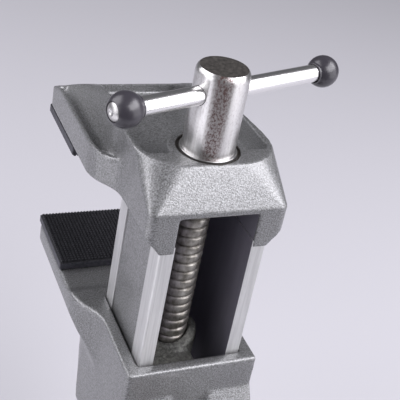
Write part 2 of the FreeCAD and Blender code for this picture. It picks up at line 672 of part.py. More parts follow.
def make_fixed_jaw():
    back = f"{RAIL_BACK} + near_wall"
    ramp_end = "mouth_ramp + mouth_ramp_run"
    wing_edge = "-(wing_bottom - wing_bevel)"
    side = prism("fixed_side", "YZ", [
        ("-near_wall", "-jaw_length"), (back, "-jaw_length"), (f"{back} + heel_step", "-(jaw_length - heel_height)"),
        (f"{back} + knee_out", "-knee_drop", "knee_hollow", True),
        ("jaw_reach", "-(seat_step + tip_wall)", "belly_hollow", True),
        ("jaw_reach", "-seat_step"), (ramp_end, "-seat_step"), ("mouth_ramp", "0"), ("-near_wall", "0")],
        f"-({HALF_BODY})", "body_width")
    body = meet("fixed_spine", side, spine_plan("fixed_plan", "0", "-near_wall", "jaw_reach", "-jaw_length",
                                                "jaw_length"))
    wing_front = prism("fixed_wing_front", "XZ", [
        (HALF_JAW, "0"), (f"-({HALF_JAW})", "0"), (f"-({HALF_JAW})", wing_edge),
        (f"-({HALF_BODY})", "-wing_root"), (HALF_BODY, "-wing_root"), (HALF_JAW, wing_edge)],
        "wing_start", "jaw_reach - wing_start")
    wing_side = prism("fixed_wing_side", "YZ", [
        ("wing_start", "0"), ("mouth_ramp", "0"), (ramp_end, "-seat_step"), ("jaw_reach", "-seat_step"),
        ("jaw_reach", wing_edge), ("jaw_reach - wing_bevel * 2", "-wing_bottom"), ("web_start", "-wing_bottom"),
        (ramp_end, "-wing_root"), ("wing_start", "-wing_root")], f"-({HALF_JAW})", "jaw_width")
    wings = meet("fixed_wings", wing_front, wing_side, wing_plan("fixed_wing_plan", "-wing_root", "wing_root"))
    lug_side = prism("lug_side", "YZ", [
        ("-near_wall", "-jaw_length"), ("-near_wall", "-lug_start"), ("-(near_wall + lug_out)", "-(lug_start + lug_ramp)"),
        ("-(near_wall + lug_out)", "-(jaw_length - lug_out)")], f"-({HALF_BODY})", "body_width")
    valley = fuse("valley", box("valley_run", ("-lug_split", "lug_split"), ("-(near_wall + lug_out + spare)", "-near_wall"),
                                ("-valley_end", "0")),
                  rod("valley_foot", "lug_split", "lug_out + spare", y="-(near_wall + lug_out + spare)",
                      z="-valley_end", along="y"))
    lugs = cut("lugs", lug_side, valley)
    casting = fuse("fixed_casting", body, wings, lugs)
    slot = box("slide_slot", (f"-({HALF_RAIL} + slide_gap)", f"{HALF_RAIL} + slide_gap"),
               ("-slide_gap", f"{RAIL_BACK} + slide_gap"), ("-(jaw_length + spare)", "spare"))
    stud = rod("stud_hole", "stud_radius + stud_gap", "near_wall + lug_out + spare * 2",
               y="-(near_wall + lug_out + spare)", z="-neck_drop", along="y")
    screw = rod("nut_screw_hole", "nut_screw_radius + stud_gap", "near_wall + spare * 2", y="-(near_wall + spare)",
                z="-nut_screw_drop", along="y")
    sink = rod("nut_screw_sink_hole", "nut_screw_head + stud_gap * 3", "nut_screw_sink + lug_out",
               y="-(near_wall + lug_out)", z="-nut_screw_drop", along="y")
    casting = cut("fixed_jaw_cut", casting, slot, stud, screw, sink,
                  *peg_holes("fixed_peg_hole", "-(seat_step + peg_length)"))
    keep_on_head("fixed_jaw", casting)


# ---------------------------------------------------------------------- pads

def make_pads():
    half = HALF_JAW
    for name, up in (("fixed_jaw_pad", 1), ("moving_jaw_pad", -1)):
        plate = box(name + "_plate", (f"-({half})", half), ("jaw_reach - pad_height", "jaw_reach"), ("0", "pad_wall"))
        plate = rounded(name + "_round", plate, "pad_round", upright)
        pegs = [rod(f"{name}_peg_{side + 2}", "peg_radius", "peg_length", f"{side} * peg_pitch / 2",
                    "jaw_reach - pad_height / 2", "-peg_length") for side in (-1, 1)]
        whole = fuse(name + "_solid", plate, *pegs)
        if up > 0:
            keep_on_head(name, whole, z="-seat_step")
        else:
            flipped = doc.addObject("Part::Mirroring", name + "_turned")
            flipped.Source = whole
            flipped.Normal = Vec(0, 0, 1)
            keep_on_slide(name, flipped)


# ------------------------------------------------------------------- spindle

def make_spindle():
    seat = "boss_top - recess_depth + washer_wall"
    shank = "end_wall - recess_depth + washer_wall"
    neck = f"-({shank})"
    groove = f"{neck} - clip_wall - shank_gap"
    tail = f"{neck} - screw_length"
    shoulder = "(head_chamfer ^ 2 + head_shoulder ^ 2) / (2 * head_chamfer)"
    shaft = turned("spindle_turned", [
        ("0", tail), ("screw_radius - head_chamfer", tail), ("screw_radius", f"{tail} + head_chamfer"),
        ("screw_radius", groove),
        ("groove_radius", groove), ("groove_radius", neck), ("screw_radius", neck), ("screw_radius", "0"),
        ("head_radius", "0"), ("head_radius", "head_height - head_shoulder"),
        ("head_radius - head_chamfer", "head_height", shoulder, False), ("0", "head_height")])
    hole = rod("bar_hole", "bar_radius + bar_gap", "(head_radius + spare) * 2", "-(head_radius + spare)", "0",
               "bar_height", "x")
    spindle = cut("spindle_bored", shaft, hole)
    spin = Turn(Vec(0, 0, 1), number("bar_angle"))
    keep_on_slide("spindle", spindle, y="spindle_reach", z=seat, turn=spin)
    washer = ring("thrust_washer_ring", "screw_radius + shank_gap * 2", "washer_radius", "washer_wall")
    keep_on_slide("thrust_washer", washer, y="spindle_reach", z="boss_top - recess_depth")
    clip = ring("spindle_clip_ring", "groove_radius + fixed_fit", "clip_radius", "clip_wall")
    gap = box("spindle_clip_gap", ("-groove_radius * clip_opening", "groove_radius * clip_opening"),
              ("-clip_radius - spare", "0"), ("-spare", "clip_wall + spare"))
    keep_on_slide("spindle_clip", cut("spindle_clip_open", clip, gap), y="spindle_reach",
                  z="boss_top - end_wall - clip_wall - shank_gap / 2")


def make_tommy_bar():
    spin = number("bar_angle") * math.pi / 180
    seat = "boss_top - recess_depth + washer_wall + bar_height"
    lying = Turn(Vec(0, 0, 1), number("bar_angle")).multiply(Turn(Vec(0, 1, 0), 90))

    def along(distance):
        """Place on the bar, that far from the spindle's axis."""
        return {"x": f"({distance}) * cos(bar_angle * 1deg)",
                "y": f"spindle_reach + ({distance}) * sin(bar_angle * 1deg)", "z": seat}

    bar_length = "knob_distance + knob_radius * 2 - bar_sink * 2"
    dome = "bar_dome"
    bar = turned("tommy_bar_turned", [
        ("0", "centre_depth"), ("centre_radius", "0"), ("bar_radius", dome, "bar_crown", False),
        ("bar_radius", f"{bar_length} - {dome}"), ("centre_radius", bar_length, "bar_crown", False),
        ("0", f"{bar_length} - centre_depth")])
    keep_on_slide("tommy_bar", bar, turn=lying, **along("bar_shift - knob_distance / 2 - knob_radius + bar_sink"))
    for name, end in (("bar_knob_left", -1), ("bar_knob_right", 1)):
        knob = turned(name + "_turned", [
            ("bar_radius + fixed_fit", "-sqrt(knob_radius ^ 2 - bar_radius ^ 2)"),
            ("knob_radius", "0", "knob_radius", False),
            ("knob_neck", "sqrt(knob_radius ^ 2 - knob_neck ^ 2)", "knob_radius", False),
            ("knob_neck", "knob_collar"), ("bar_radius + fixed_fit", "knob_collar")])
        facing = lying if end < 0 else lying.multiply(Turn(Vec(1, 0, 0), 180))
        keep_on_slide(name, knob, turn=facing, **along(f"bar_shift + {end} * knob_distance / 2"))


# ----------------------------------------------------------------- screw nut

def make_spindle_nut():
    foot = box("nut_foot", ("-nut_left", "nut_right"), ("-slide_gap", "spindle_reach"), ("-nut_height", "0"))
    boss = rod("nut_round", "nut_boss", "nut_height", y="spindle_reach", z="-nut_height")
    mound = frustum("nut_mound_cone", "nut_mound_foot", "nut_mound_top", "nut_mound", "nut_mound_shift", "spindle_reach")
    mound = meet("nut_mound_trimmed", mound, rod("nut_mound_round", "nut_boss", "nut_mound", y="spindle_reach"))
    thread = rod("nut_thread", "screw_radius + thread_gap", "nut_height + nut_mound + spare * 2", y="spindle_reach",
                 z="-(nut_height + spare)")
    hole = rod("nut_fixing_hole", "nut_screw_radius + fixed_fit", "nut_screw_grip + slide_gap + spare * 2",
               y="-(slide_gap + spare)", z="nut_top - nut_screw_drop", along="y")
    keep_on_head("spindle_nut", cut("spindle_nut_cut", fuse("nut_block", foot, boss, mound), thread, hole), z="-nut_top")
    screw = turned("nut_screw_turned", [
        ("0", "0"), ("nut_screw_head", "0"), ("nut_screw_head", "nut_screw_sink - thread_gap"),
        ("nut_screw_radius", "nut_screw_sink - thread_gap"), ("nut_screw_radius", "near_wall + nut_screw_grip - slide_gap"),
        ("0", "near_wall + nut_screw_grip - slide_gap")])
    socket = hexagon("nut_screw_socket", "nut_screw_radius * socket_width", "nut_screw_sink * (1 - socket_floor)")
    keep_on_head("nut_screw", cut("nut_screw_cut", screw, socket), y="-near_wall + thread_gap", z="-nut_screw_drop",
                 turn=ALONG["y"])


# ---------------------------------------------------------------- ball joint

def make_ball_stud():
    shoulder = "slide_reach - near_wall - lug_out"
    tip = "slide_reach + stud_washer_wall + stud_nut_wall + spare"
    meeting = "sqrt(ball_radius ^ 2 - neck_radius ^ 2)"
    stud = turned("ball_stud_turned", [
        ("0", "-ball_radius"), ("ball_radius", "0", "ball_radius", False),
        ("neck_radius", meeting, "ball_radius", False), ("neck_radius", shoulder),
        ("stud_radius", shoulder), ("stud_radius", f"{tip} - small_edge"),
        ("stud_radius - small_edge", tip), ("0", tip)])
    keep("ball_stud", stud, z="ball_height", turn=ALONG["y"])
    washer = ring("stud_washer_ring", "stud_radius + stud_gap", "stud_washer_radius", "stud_washer_wall")
    keep_on_head("stud_washer", washer, y="-slide_gap", z="-neck_drop", turn=ALONG["y"])
    nut = hexagon("stud_nut_hex", "stud_nut_flat", "stud_nut_wall")
    bore = rod("stud_nut_bore", "stud_radius + fixed_fit", "stud_nut_wall + spare * 2", z="-spare")
    keep_on_head("stud_nut", cut("stud_nut_bored", nut, bore), y="-slide_gap + stud_washer_wall", z="-neck_drop",
                 turn=ALONG["y"])


def make_turret():
    foot = "base_top + turning_gap"
    rim = "ball_height + turret_top"
    column = turned("turret_turned", [
        ("0", foot), ("flange_radius", foot), ("flange_radius", f"{foot} + flange_wall - turret_edge"),
        ("flange_radius - turret_edge", f"{foot} + flange_wall"), ("turret_radius", f"{foot} + flange_wall"),
        ("turret_radius", f"{rim} - turret_edge"), ("turret_radius - turret_edge", rim), ("0", rim)])
    pocket = sphere("ball_pocket", "ball_radius + ball_gap", z="ball_height")
    slot_half = "neck_radius + neck_gap"
    slot = box("neck_slot", (f"-({slot_half})", slot_half), (f"-({slot_half})", "turret_radius + spare"),
               (f"ball_height - ({slot_half})", f"{rim} + spare"))
    bolt = rod("clamp_bolt_hole", "clamp_radius + clamp_gap", "(turret_radius + spare) * 2", "-(turret_radius + spare)", "0",
               "ball_height - clamp_drop", "x")
    faces = [rod(f"spot_face_{side + 2}", "spot_radius", "turret_radius", x, "0", "ball_height - clamp_drop", "x")
             for side, x in ((-1, "-(spot_face + turret_radius)"), (1, "spot_face"))]
    dowels = [rod(f"dowel_hole_{side + 2}", "dowel_radius + fixed_fit", "dowel_length + spare", "-(dowel_length + spare) / 2",
                  f"{side} * dowel_pitch / 2", "ball_height - dowel_drop", "x") for side in (-1, 1)]
    whole = cut("turret_whole", column, pocket, slot, bolt, *faces, *dowels)
    right = box("cheek_side", ("cheek_gap", "turret_radius + spare"), ("-(turret_radius + spare)", "turret_radius + spare"),
                ("cheek_ledge", f"{rim} + spare"))
    away = box("cheek_room", ("-cheek_gap", "flange_radius + spare"), ("-(flange_radius + spare)", "flange_radius + spare"),
               ("cheek_ledge", f"{rim} + spare"))
    thread = rod("swivel_thread", "swivel_radius + fixed_fit", "swivel_grip + spare", z=f"{foot} - spare")
    keep("turret", cut("turret_half", whole, away, thread))
    keep("clamp_cheek", meet("clamp_cheek_half", whole, right))
    pins = [rod(f"cheek_dowel_{side + 2}", "dowel_radius", "dowel_length", "-dowel_length / 2",
                f"{side} * dowel_pitch / 2", "ball_height - dowel_drop", "x") for side in (-1, 1)]
    dowel_pair = doc.addObject("Part::Compound", "dowel_pair")
    dowel_pair.Links = pins
    keep("cheek_dowels", dowel_pair)


def make_clamp():
    level = "ball_height - clamp_drop"
    head = hexagon("clamp_head", "bolt_head_flat", "bolt_head_wall")
    shank = rod("clamp_shank", "clamp_radius", "spot_face * 2 + clamp_washer_wall + lever_hub_wall - spare", z="bolt_head_wall")
    bolt = fuse("clamp_bolt_solid", head, shank)
    keep("clamp_bolt", bolt, x="-(spot_face + bolt_head_wall)", z=level, turn=ALONG["x"])
    washer = ring("clamp_washer_ring", "clamp_radius + clamp_gap", "spot_radius - spare", "clamp_washer_wall")
    keep("clamp_washer", washer, x="spot_face", z=level, turn=ALONG["x"])
    hub = rod("clamp_hub", "lever_hub", "lever_hub_wall", along="x")
    arm_place = "lever_hub_wall - clamp_arm_radius - arm_inset"
    arm = rod("clamp_arm_rod", "clamp_arm_radius", "clamp_arm", arm_place, "-clamp_arm", "0", "y")
    bore = rod("clamp_hub_bore", "clamp_radius + clamp_gap", "lever_hub_wall + spare * 2", "-spare", along="x")
    lever = rounded("clamp_lever_round", cut("clamp_lever_cut", fuse("clamp_lever_solid", hub, arm), bore), "soft_edge",
                    lambda e: e.Curve.TypeId == "Part::GeomCircle" and e.CenterOfMass.y > -ONE_MM
                    and abs(e.Curve.Radius - number("lever_hub")) < 0.01)
    keep("clamp_lever", lever, x="spot_face + clamp_washer_wall + turning_gap", z=level)
    grip = turned("clamp_grip_turned", [
        ("clamp_arm_radius + fixed_fit", "0"), ("clamp_knob_radius - soft_edge", "0"), ("clamp_knob_radius", "soft_edge * 2"),
        ("clamp_knob_radius", "clamp_knob_length - clamp_knob_dome"),
        ("clamp_knob_radius - clamp_knob_dome", "clamp_knob_length", "clamp_knob_dome", False),
        ("0", "clamp_knob_length"), ("0", "clamp_knob_length - clamp_knob_end"),
        ("clamp_arm_radius + fixed_fit", "clamp_knob_length - clamp_knob_end")])
    keep("clamp_grip", grip, x=f"spot_face + clamp_washer_wall + turning_gap + {arm_place}",
         y="-clamp_arm + clamp_knob_length - clamp_knob_end", z=level, turn=Turn(Vec(1, 0, 0), 90))


# ---------------------------------------------------------------------- base

def make_base_cover():
    bottom = "cup_wall"
    deck = "base_top - deck_wall"
    slope = "base_neck + base_lip / 2"
    shell = turned("base_shell", [
        ("0", deck), (f"{slope} - base_wall", deck), ("base_radius - base_wall", "base_rim"),
        ("base_radius - base_wall", bottom), ("base_radius", bottom), ("base_radius", "base_rim"),
        (slope, "base_top - base_lip", "base_sweep", True), ("base_neck - base_lip / 2", "base_top"), ("0", "base_top")])
    cam_hub = rod("cam_hub", "hub_radius", f"{HUB_END} - hub_inner", "hub_inner", "0", "cam_height", "x")
    tail_hub = rod("tail_hub", "hub_radius", "base_radius - base_wall - hub_inner + spare", "-(base_radius - base_wall + spare)",
                   "0", "cam_height", "x")
    floor = box("hub_trim", (f"-({HUB_END} + spare)", f"{HUB_END} + spare"), ("-base_radius", "base_radius"),
                ("-hub_radius", bottom))
    bolt = rod("swivel_hole", "swivel_radius + swivel_gap", "deck_wall + spare * 2", z=f"{deck} - spare")
    journal = rod("cam_bore", "cam_radius + cam_gap", "base_radius", "hub_inner - spare", "0", "cam_height", "x")
    tail = rod("tail_bore", "cam_pin_radius + cam_gap", f"{TAIL_END} + spare", f"-({TAIL_END} + spare)", "0", "cam_height", "x")
    keep("base_cover", cut("base_cover_cut", fuse("base_solid", shell, cam_hub, tail_hub), floor, bolt, journal, tail))


def make_suction():
    cup = turned("suction_cup_turned", [
        ("0", "0"), ("cup_pad", "0"), ("cup_pad + cup_ramp", "cup_dish"),
        ("cup_radius - cup_lip - cup_ramp", "cup_dish"), ("cup_radius - cup_lip", "0"),
        ("cup_radius - small_edge", "0"), ("cup_radius", "small_edge"), ("cup_radius", "cup_wall"),
        ("plate_radius + cup_ramp * 2", "cup_wall"), ("plate_radius + cup_ramp", "cup_centre"), ("0", "cup_centre")])
    keep("suction_cup", cup)
    plate = turned("cup_plate_turned", [
        ("0", "0"), ("plate_radius", "0"), ("plate_radius", "plate_wall - small_edge"),
        ("plate_radius - small_edge", "plate_wall"), ("0", "plate_wall")])
    keep("cup_plate", plate, z="cup_centre")
    pin_level = "(cam_height - cam_throw / 2 - cup_centre - plate_wall)"
    slot_high = "cam_pin_radius + eye_gap"
    slot_long = "cam_throw + cam_pin_radius + eye_gap"
    block = box("eye_block", ("-eye_width / 2", "eye_width / 2"), ("-eye_depth / 2", "eye_depth / 2"),
                ("0", f"{pin_level} + {slot_high} + eye_wall"))
    block = rounded("eye_round", block, "soft_edge * 2", lambda e: abs(e.tangentAt(e.FirstParameter).x) > 0.99
                    and e.CenterOfMass.z > ONE_MM)
    slot = box("eye_slot", ("-eye_width", "eye_width"), (f"-({slot_long})", slot_long),
               (f"{pin_level} - ({slot_high})", f"{pin_level} + {slot_high}"))
    keep("pull_stud", cut("pull_stud_cut", block, slot), z="cup_centre + plate_wall")


def make_cam():
    pin_y, pin_z = "cam_throw * cos(cam_swing / 2 * 1deg)", "-cam_throw * sin(cam_swing / 2 * 1deg)"
    reach = f"{HUB_END} + lever_gap"
    inner = "eye_width / 2 + cam_web"
    journal = rod("cam_journal", "cam_radius", f"{reach} - ({inner})", inner, along="x")
    pin = rod("cam_pin", "cam_pin_radius", f"({inner}) * 2", f"-({inner})", pin_y, pin_z, "x")
    tail = rod("cam_tail", "cam_pin_radius", f"{TAIL_END} - ({inner}) + spare", f"-({TAIL_END})", along="x")
    groove_place = "hub_inner - cam_clip_wall - cam_play"
    groove = cut("cam_groove_ring",
                 rod("cam_groove_outer", "cam_radius + spare", "cam_clip_wall + cam_gap", groove_place, along="x"),
                 rod("cam_groove_core", "cam_groove", "cam_clip_wall + spare * 2", f"{groove_place} - spare", along="x"))
    screw_hole = rod("lever_screw_hole", "lever_screw_radius + fixed_fit", "lever_screw_grip + spare",
                     f"{reach} - lever_screw_grip", along="x")
    keep("cam_shaft", cut("cam_shaft_cut", fuse("cam_shaft_solid", journal, pin, tail), groove, screw_hole),
         z="cam_height")
    clip = ring("cam_clip_ring", "cam_groove + fixed_fit", "cam_clip_radius", "cam_clip_wall")
    gap = box("cam_clip_gap", ("-cam_groove * clip_opening", "cam_groove * clip_opening"),
              ("-cam_clip_radius - spare", "0"), ("-spare", "cam_clip_wall + spare"))
    keep("cam_clip", cut("cam_clip_open", clip, gap), x=f"{groove_place} + cam_gap / 2", z="cam_height",
         turn=Turn(Vec(0, 1, 0), 90))
    start = "lever_length + grip_over - grip_length"
    outline = [("0", "-lever_root"), (start, "-lever_tip"), ("lever_length", "-lever_tip"),
               ("lever_length", "lever_tip"), (start, "lever_tip"), ("0", "lever_root")]
    arm = padded("cam_arm", outline, "lever_wall")
    lever_disc = rod("cam_lever_disc", "lever_head", "lever_wall")
    screw_bore = rod("cam_lever_bore", "lever_screw_radius + cam_gap", "lever_wall + spare * 2", z="-spare")
    lever = cut("cam_lever_cut", fuse("cam_lever_solid", lever_disc, arm), screw_bore)
    upright_arm = Turn(Vec(1, 0, 0), 180 - number("lever_rise")).multiply(Turn(0.5, 0.5, 0.5, 0.5))
    keep("cam_lever", lever, x=reach, z="cam_height", turn=upright_arm)
    direction_y, direction_z = "-cos(lever_rise * 1deg)", "sin(lever_rise * 1deg)"
    sleeve = turned("grip_sleeve", [
        ("0", "0"), ("grip_radius - small_edge", "0"), ("grip_radius", "small_edge"),
        ("grip_radius", "grip_length - soft_edge"),
        ("grip_radius - soft_edge", "grip_length", "soft_edge", False), ("0", "grip_length")])
    hollow = box("grip_hollow", ("-lever_wall / 2 - fixed_fit", "lever_wall / 2 + fixed_fit"),
                 ("-lever_tip - fixed_fit", "lever_tip + fixed_fit"), ("-spare", "grip_length - grip_over"))
    along_arm = Turn(Vec(1, 0, 0), 90 - number("lever_rise"))
    keep("lever_grip", cut("lever_grip_cut", sleeve, hollow), x=f"{reach} + lever_wall / 2",
         y=f"({start}) * ({direction_y})", z=f"cam_height + ({start}) * {direction_z}", turn=along_arm)
    end = "-(lever_wall + lever_screw_grip - small_edge)"
    screw = turned("lever_screw_turned", [
        ("0", end), ("lever_screw_radius", end), ("lever_screw_radius", "0"), ("lever_screw_head", "0"),
        ("lever_screw_head", "lever_screw_wall - small_edge"), ("lever_screw_head - small_edge", "lever_screw_wall"),
        ("0", "lever_screw_wall")])
    socket = hexagon("lever_screw_socket", "lever_screw_radius * socket_width", "lever_screw_wall")
    place(socket, z="lever_screw_wall * socket_floor")
    keep("lever_screw", cut("lever_screw_cut", screw, socket), x=f"{reach} + lever_wall", z="cam_height",
         turn=ALONG["x"])


def make_swivel():
    under_deck = "base_top - deck_wall - swivel_washer_wall - turning_gap"
    washer = ring("swivel_washer_ring", "swivel_radius + swivel_gap", "swivel_washer_radius", "swivel_washer_wall")
    keep("swivel_washer", washer, z=under_deck)
    head = hexagon("swivel_head", "swivel_head_radius * cos(30deg)", "swivel_head_wall")
    shank = rod("swivel_shank", "swivel_radius",
                "swivel_head_wall + swivel_washer_wall + turning_gap * 2 + deck_wall + swivel_grip - spare")
    keep("swivel_bolt", fuse("swivel_bolt_solid", head, shank), z=f"{under_deck} - swivel_head_wall")


make_base_cover()
make_suction()
make_cam()
make_swivel()
make_turret()
make_clamp()
make_ball_stud()
make_fixed_jaw()
make_spindle_nut()
make_moving_jaw()
make_pads()
make_spindle()
make_tommy_bar()
doc.recompute()

for item in doc.Objects:
    if "Invalid" in item.State or "Error" in item.State:
        raise RuntimeError(f"{item.Label} failed: {item.State}")

os.makedirs("parts", exist_ok=True)
for piece in sub_parts:
    shape = piece.Shape
    if shape.isNull() or not shape.isValid():
        raise RuntimeError(f"{piece.Label} has no valid shape")
    shape.exportStep(f"parts/{piece.Label}.step")
    print(f"{piece.Label}: {len(shape.Solids)} solid, {shape.Volume / 1000:.2f} cm3")
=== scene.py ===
"""Suction base vise: the looks of every piece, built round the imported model.

Lengths are in metres through MM, in the model's own frame: +Z up, the slide's
open side towards -Y.  The castings are remeshed copies of their CAD nodes with
rounded corners.  The screw's thread and the pads' ribs are made here, and every
other piece is its CAD node with softened edges.
"""
import json
import math

import bmesh
import bpy
from mathutils import Matrix, Vector


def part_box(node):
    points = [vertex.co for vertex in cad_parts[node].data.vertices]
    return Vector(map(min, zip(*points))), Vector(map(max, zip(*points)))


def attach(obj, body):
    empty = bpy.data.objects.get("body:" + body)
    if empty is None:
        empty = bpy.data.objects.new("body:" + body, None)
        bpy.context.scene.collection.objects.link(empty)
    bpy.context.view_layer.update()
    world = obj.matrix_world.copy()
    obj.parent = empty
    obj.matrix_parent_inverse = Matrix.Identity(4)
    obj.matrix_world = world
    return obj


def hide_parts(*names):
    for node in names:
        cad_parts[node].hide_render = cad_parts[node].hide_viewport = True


MM = 0.001
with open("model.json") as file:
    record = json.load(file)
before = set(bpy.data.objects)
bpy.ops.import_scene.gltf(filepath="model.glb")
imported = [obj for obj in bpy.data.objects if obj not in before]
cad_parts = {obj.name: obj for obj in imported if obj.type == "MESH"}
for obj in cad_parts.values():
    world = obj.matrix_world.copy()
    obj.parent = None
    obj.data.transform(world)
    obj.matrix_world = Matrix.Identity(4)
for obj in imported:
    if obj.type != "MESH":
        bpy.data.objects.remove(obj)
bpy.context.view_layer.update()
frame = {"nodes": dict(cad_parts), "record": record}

# ------------------------------------------------------------------- camera

CAMERA_PLACE = Vector((-123.9, -174.2, 363.1)) * MM
CAMERA_HEADING = 28.08     # degrees from +Y towards +X
CAMERA_PITCH = -31.56      # degrees above the horizontal
CAMERA_ROLL = 11.70        # degrees, the upright spindle leans to the right
CLIP_START = 10 * MM
SENSOR_MM = 36.0
LENS_MM = 77.08


def add_camera():
    data = bpy.data.cameras.new("camera")
    data.sensor_width = SENSOR_MM
    data.lens = LENS_MM
    data.clip_start = CLIP_START
    camera = bpy.data.objects.new("camera", data)
    bpy.context.scene.collection.objects.link(camera)
    heading = Matrix.Rotation(math.radians(-CAMERA_HEADING), 4, "Z")
    pitch = Matrix.Rotation(math.radians(90 + CAMERA_PITCH), 4, "X")
    roll = Matrix.Rotation(math.radians(CAMERA_ROLL), 4, "Z")
    camera.matrix_world = Matrix.Translation(CAMERA_PLACE) @ heading @ pitch @ roll
    bpy.context.scene.camera = camera


# ---------------------------------------------------------- material helpers

def node_tree(name):
    """A new material, its node tree and its shader."""
    material = bpy.data.materials.new(name)
    material.use_nodes = True
    tree = material.node_tree
    return material, tree, tree.nodes["Principled BSDF"]


def object_place(tree, scale=(1, 1, 1)):
    """Object coordinates, stretched for a texture."""
    source = tree.nodes.new("ShaderNodeTexCoord")
    mapping = tree.nodes.new("ShaderNodeMapping")
    mapping.inputs["Scale"].default_value = scale
    tree.links.new(source.outputs["Object"], mapping.inputs["Vector"])
    return mapping.outputs["Vector"]


def noise(tree, place, scale, detail=2.0, roughness=0.5):
    texture = tree.nodes.new("ShaderNodeTexNoise")
    texture.inputs["Scale"].default_value = scale
    texture.inputs["Detail"].default_value = detail
    texture.inputs["Roughness"].default_value = roughness
    tree.links.new(place, texture.inputs["Vector"])
    return texture.outputs["Fac"]


def ramp(tree, value, stops):
    """A colour ramp over (position, colour) stops."""
    node = tree.nodes.new("ShaderNodeValToRGB")
    elements = node.color_ramp.elements
    for element, (position, colour) in zip(elements, stops[:2]):
        element.position = position
        element.color = (*colour, 1)
    for position, colour in stops[2:]:
        elements.new(position).color = (*colour, 1)
    tree.links.new(value, node.inputs["Fac"])
    return node.outputs["Color"]


def scaled(tree, value, low, high):
    """A value from 0 to 1, spread between two others."""
    node = tree.nodes.new("ShaderNodeMapRange")
    node.inputs["To Min"].default_value = low
    node.inputs["To Max"].default_value = high
    tree.links.new(value, node.inputs["Value"])
    return node.outputs["Result"]


def mixed(tree, share, first, second):
    """Two colours mixed, each written out or taken from another node."""
    node = tree.nodes.new("ShaderNodeMix")
    node.data_type = "RGBA"
    tree.links.new(share, node.inputs["Factor"])
    for socket, colour in (("A", first), ("B", second)):
        target = next(i for i in node.inputs if i.name == socket and i.type == "RGBA")
        if isinstance(colour, tuple):
            target.default_value = (*colour, 1)
        else:
            tree.links.new(colour, target)
    return next(o for o in node.outputs if o.type == "RGBA")


def multiplied(tree, first, second):
    node = tree.nodes.new("ShaderNodeVectorMath")
    node.operation = "MULTIPLY"
    tree.links.new(first, node.inputs[0])
    tree.links.new(second, node.inputs[1])
    return node.outputs["Vector"]


def bumped(tree, shader, height, strength, distance):
    node = tree.nodes.new("ShaderNodeBump")
    node.inputs["Strength"].default_value = strength
    node.inputs["Distance"].default_value = distance
    tree.links.new(height, node.inputs["Height"])
    tree.links.new(node.outputs["Normal"], shader.inputs["Normal"])


def grey(value, warmth=0.0):
    return (value * (1 + warmth), value, value * (1 - warmth))


# ------------------------------------------------------------------ finishes

def hammertone_paint():
    """Grey metallic paint that dried in small grains."""
    material, tree, shader = node_tree("hammertone_paint")
    place = object_place(tree)
    grain = noise(tree, place, 1900, 2.0, 0.6)
    clouds = noise(tree, place, 70, 3.0)
    body = ramp(tree, grain, [(0.34, grey(0.14)), (0.66, grey(0.36, -0.015))])
    tinted = mixed(tree, clouds, grey(0.86), grey(1.0))
    tree.links.new(multiplied(tree, body, tinted), shader.inputs["Base Color"])
    shader.inputs["Metallic"].default_value = 0.68
    shader.inputs["Coat Weight"].default_value = 0.6
    shader.inputs["Coat Roughness"].default_value = 0.14
    tree.links.new(scaled(tree, grain, 0.34, 0.54), shader.inputs["Roughness"])
    bumped(tree, shader, grain, 0.8, 0.2 * MM)
    return material


def milled_aluminium():
    """Bare faces with fine milling lines along the slide."""
    material, tree, shader = node_tree("milled_aluminium")
    lines = noise(tree, object_place(tree, (1, 1, 0.03)), 1500, 3.0)
    marks = noise(tree, object_place(tree, (1, 1, 0.3)), 120, 4.0, 0.6)
    worn = mixed(tree, marks, grey(0.58), grey(0.80))
    lined = ramp(tree, lines, [(0.35, grey(0.86)), (0.6, grey(1))])
    tree.links.new(multiplied(tree, worn, lined), shader.inputs["Base Color"])
    shader.inputs["Metallic"].default_value = 0.75
    tree.links.new(scaled(tree, lines, 0.36, 0.52), shader.inputs["Roughness"])
    bumped(tree, shader, lines, 0.2, 0.05 * MM)
    return material


# brown of the dirt specks, and of the dark reflection painted on the spindle's head
DIRT_AND_DARK_REFLECTION_BROWN = (0.11, 0.058, 0.052)
DARK_REFLECTION_SIDE = math.radians(-110)     # the side of the spindle's head towards the camera, from +X, with a painted dark reflection


def dark_reflection_band(tree, place, side):
    """A painted dark reflection down one side of a turned piece, strongest at an angle about its
    axis.
    """
    outward = tree.nodes.new("ShaderNodeVectorMath")
    outward.operation = "SUBTRACT"
    tree.links.new(object_place(tree, (1, 1, 0)), outward.inputs[0])
    outward.inputs[1].default_value = (place[0], place[1], 0)
    unit = tree.nodes.new("ShaderNodeVectorMath")
    unit.operation = "NORMALIZE"
    tree.links.new(outward.outputs["Vector"], unit.inputs[0])
    toward = tree.nodes.new("ShaderNodeVectorMath")
    toward.operation = "DOT_PRODUCT"
    tree.links.new(unit.outputs["Vector"], toward.inputs[0])
    toward.inputs[1].default_value = (math.cos(side), math.sin(side), 0)
    return ramp(tree, toward.outputs["Value"], [(0.92, grey(0)), (0.985, grey(1))])


